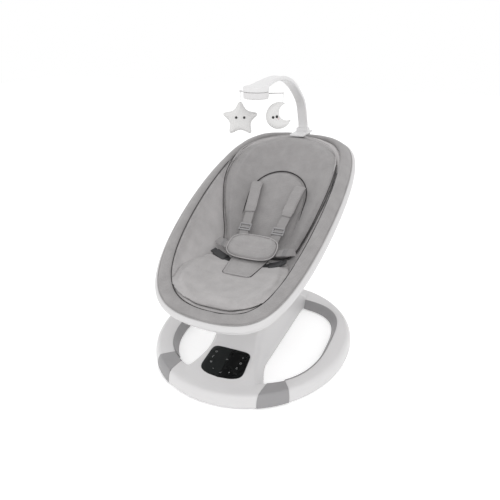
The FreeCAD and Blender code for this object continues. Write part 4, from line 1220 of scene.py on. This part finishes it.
def plush_toy(name, outline, spot, depth, step=2.0, voxel=0.0016):
    """A closed plush body, thick where the outline is far away and thin at the seam."""
    bm = bmesh.new()
    bm.faces.new([bm.verts.new((p.x, p.y, 0)) for p in outline])
    bmesh.ops.triangulate(bm, faces=bm.faces[:])
    for axis in (0, 1):
        low = min(p[axis] for p in outline)
        high = max(p[axis] for p in outline)
        for k in range(int((high - low) / step) + 3):
            point, towards = [0, 0, 0], [0, 0, 0]
            point[axis] = low + k * step
            towards[axis] = 1
            halved(bm, point, towards)
    corners = np.array([[p.x, p.y] for p in outline])
    ahead = np.roll(corners, -1, axis=0) - corners
    spans = (ahead ** 2).sum(1)
    here = []
    for vert in bm.verts:
        q = np.array([vert.co.x, vert.co.y])
        t = np.clip(((q - corners) * ahead).sum(1) / spans, 0, 1)
        gap = np.sqrt((((corners + ahead * t[:, None]) - q) ** 2).sum(1)).min()
        rise = depth * math.sqrt(max(0.0, 1 - (1 - min(1.0, gap / (depth * 1.25))) ** 2))
        here.append((q[0], q[1], rise))
    points = [spot(x, y, z * sign) for sign in (1, -1) for x, y, z in here]
    bm.verts.index_update()
    faces = []
    for f in bm.faces:
        ids = [v.index for v in f.verts]
        faces += [ids, [i + len(here) for i in reversed(ids)]]
    bm.free()
    obj = made(name, points, faces)
    baked(modifier(obj, "REMESH", mode="VOXEL", voxel_size=voxel))
    baked(modifier(obj, "SMOOTH", factor=0.5, iterations=7))
    return smooth(obj)


def rounded_outline(points, turns=3):
    """Corner-cut an outline until its corners are round."""
    for _ in range(turns):
        cut = []
        for i, p in enumerate(points):
            q = points[(i + 1) % len(points)]
            cut += [p.lerp(q, 0.2), p.lerp(q, 0.8)]
        points = cut
    return points


def around(centre, radius, turn):
    """A point on a circle, from an angle in radians."""
    return centre + V((math.cos(turn), math.sin(turn))) * radius


STAR = 46.0
star_points = []
for i in range(10):
    reach = STAR * 1.03 if i % 2 == 0 else 0.52 * STAR
    star_points.append(V((1.05 * reach * math.sin(math.pi * i / 5),
                          reach * math.cos(math.pi * i / 5) - STAR)))
star_points = rounded_outline(star_points)

MOON = 31.5
BITE_RADIUS = MOON * 0.67
BITE_OFFSET = MOON * 0.7
horn = math.radians(73.0)
lean = math.radians(22)
moon_centre = V((-MOON * 1.01 * math.cos(horn), -MOON * 1.01 * math.sin(horn)))
bite = around(moon_centre, BITE_OFFSET, lean)
spread = math.acos((BITE_OFFSET ** 2 + MOON ** 2 - BITE_RADIUS ** 2) / (2 * BITE_OFFSET * MOON))
spread_in = math.pi - math.acos((BITE_OFFSET ** 2 + BITE_RADIUS ** 2 - MOON ** 2)
                                / (2 * BITE_OFFSET * BITE_RADIUS))
moon_points = [around(moon_centre, MOON, lean + spread + (TAU - 2 * spread) * i / 60)
               for i in range(61)]
moon_points += [around(bite, BITE_RADIUS, lean - spread_in - (TAU - 2 * spread_in) * i / 40)
                for i in range(1, 40)]
moon_points = rounded_outline(moon_points, 2)

# turned shapes, as (radius, height)
EYE = [(0.3, -0.9), (2.7, -0.5), (3.5, 0.2), (2.9, 1.2), (1.6, 1.9), (0.3, 2.2)]
CHEEK = [(2.6, -1.2), (2.6, 0.25), (0.4, 0.45)]
TOY_DEPTH = 10.0
FACE_OUT = 9.4


def face_marks(word, spot, face, middle, apart, tilt):
    """Two bead eyes, a small smile and two faint cheeks, on the toy's front."""
    turn = Matrix.Rotation(tilt, 2)

    def on_face(x, y, out):
        p = turn @ V((x, y))
        return spot(middle[0] + p.x, middle[1] + p.y, out)
    beads = [lathe("bead", EYE, on_face(x, 0, FACE_OUT), face, 24) for x in (-apart, apart)]
    finish(joined(word + "_eyes", beads), "eye", word)
    line = [on_face(3.2 * math.sin(t), -7.6 - 2.0 * math.cos(t), FACE_OUT + 0.2)
            for t in [math.radians(-75 + 15 * k) for k in range(11)]]
    finish(tube(word + "_smile", line, 0.42, closed=False, sides=6), "smile", word)
    cheeks = [lathe("cheek", CHEEK, on_face(x, -5.4, FACE_OUT - 0.5), face, 20)
              for x in (-apart * 1.6, apart * 1.6)]
    finish(joined(word + "_cheeks", cheeks), "blush", word)


for word, outline, middle, apart, tilt in (("star", star_points, (0, -41), 10.0, 0.0),
                                           ("moon", moon_points, (-21.0, -32), 4.6, 0.15)):
    top, face, spot = toy_frame(word)
    toy = plush_toy(word + "_plush", outline, spot, TOY_DEPTH)
    finish(toy, "plush", word, [word + "_toy"])
    finish(tube(word + "_seam", [spot(*p) for p in outline], 0.7), "plush", word)
    face_marks(word, spot, face, middle, apart, tilt)
    low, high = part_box(word + "_cord")
    line = [V((top.x, top.y, low.z / MM - 1.5 + k * (high.z - low.z + 0.003) / MM / 12))
            for k in range(13)]
    strands = [tube("strand", [p + V((*around(V((0, 0)), 0.45, i * 0.9 + start), 0))
                               for i, p in enumerate(spline(line, 3))], 0.5, False, 6)
               for start in (0, math.pi)]
    finish(joined(word + "_cord_twist", strands), "cord", word, [word + "_cord"])


# ---- floor, light and view

FLOOR_REACH = 6000
corners = [(x * FLOOR_REACH, y * FLOOR_REACH, 0) for x, y in ((-1, -1), (1, -1), (1, 1), (-1, 1))]
floor = made("floor", corners, [(0, 1, 2, 3)])
floor_look = Shader("floor_finish")
pale = floor_look.tint(floor_look.noise(3.0), (0.98, 0.98, 0.98, 1), (1.0, 1.0, 1.0, 1))
floor.data.materials.append(floor_look.set(
    Base_Color=pale, Roughness=0.9, Specular_IOR_Level=0.1,
    Emission_Color=(1.0, 1.0, 1.0, 1.0), Emission_Strength=0.16))

for name, at, size, energy in (("key", (1.0, -1.9, 2.3), 1.6, 15.0),
                               ("fill", (-2.2, -1.0, 1.2), 2.0, 4.0),
                               ("top", (0.2, 0.6, 2.8), 2.0, 4.0)):
    lamp = bpy.data.lights.new(name, "AREA")
    lamp.shape = "SQUARE"
    lamp.size = size
    lamp.energy = energy
    aimed(name, lamp, at, (0, 0, 0.3))

world = bpy.data.worlds.new("studio")
world.use_nodes = True
sky = world.node_tree.nodes["Background"]
sky.inputs["Color"].default_value = (1.0, 1.0, 1.0, 1.0)
sky.inputs["Strength"].default_value = 1.0
scene.world = world
scene.view_settings.view_transform = "Standard"
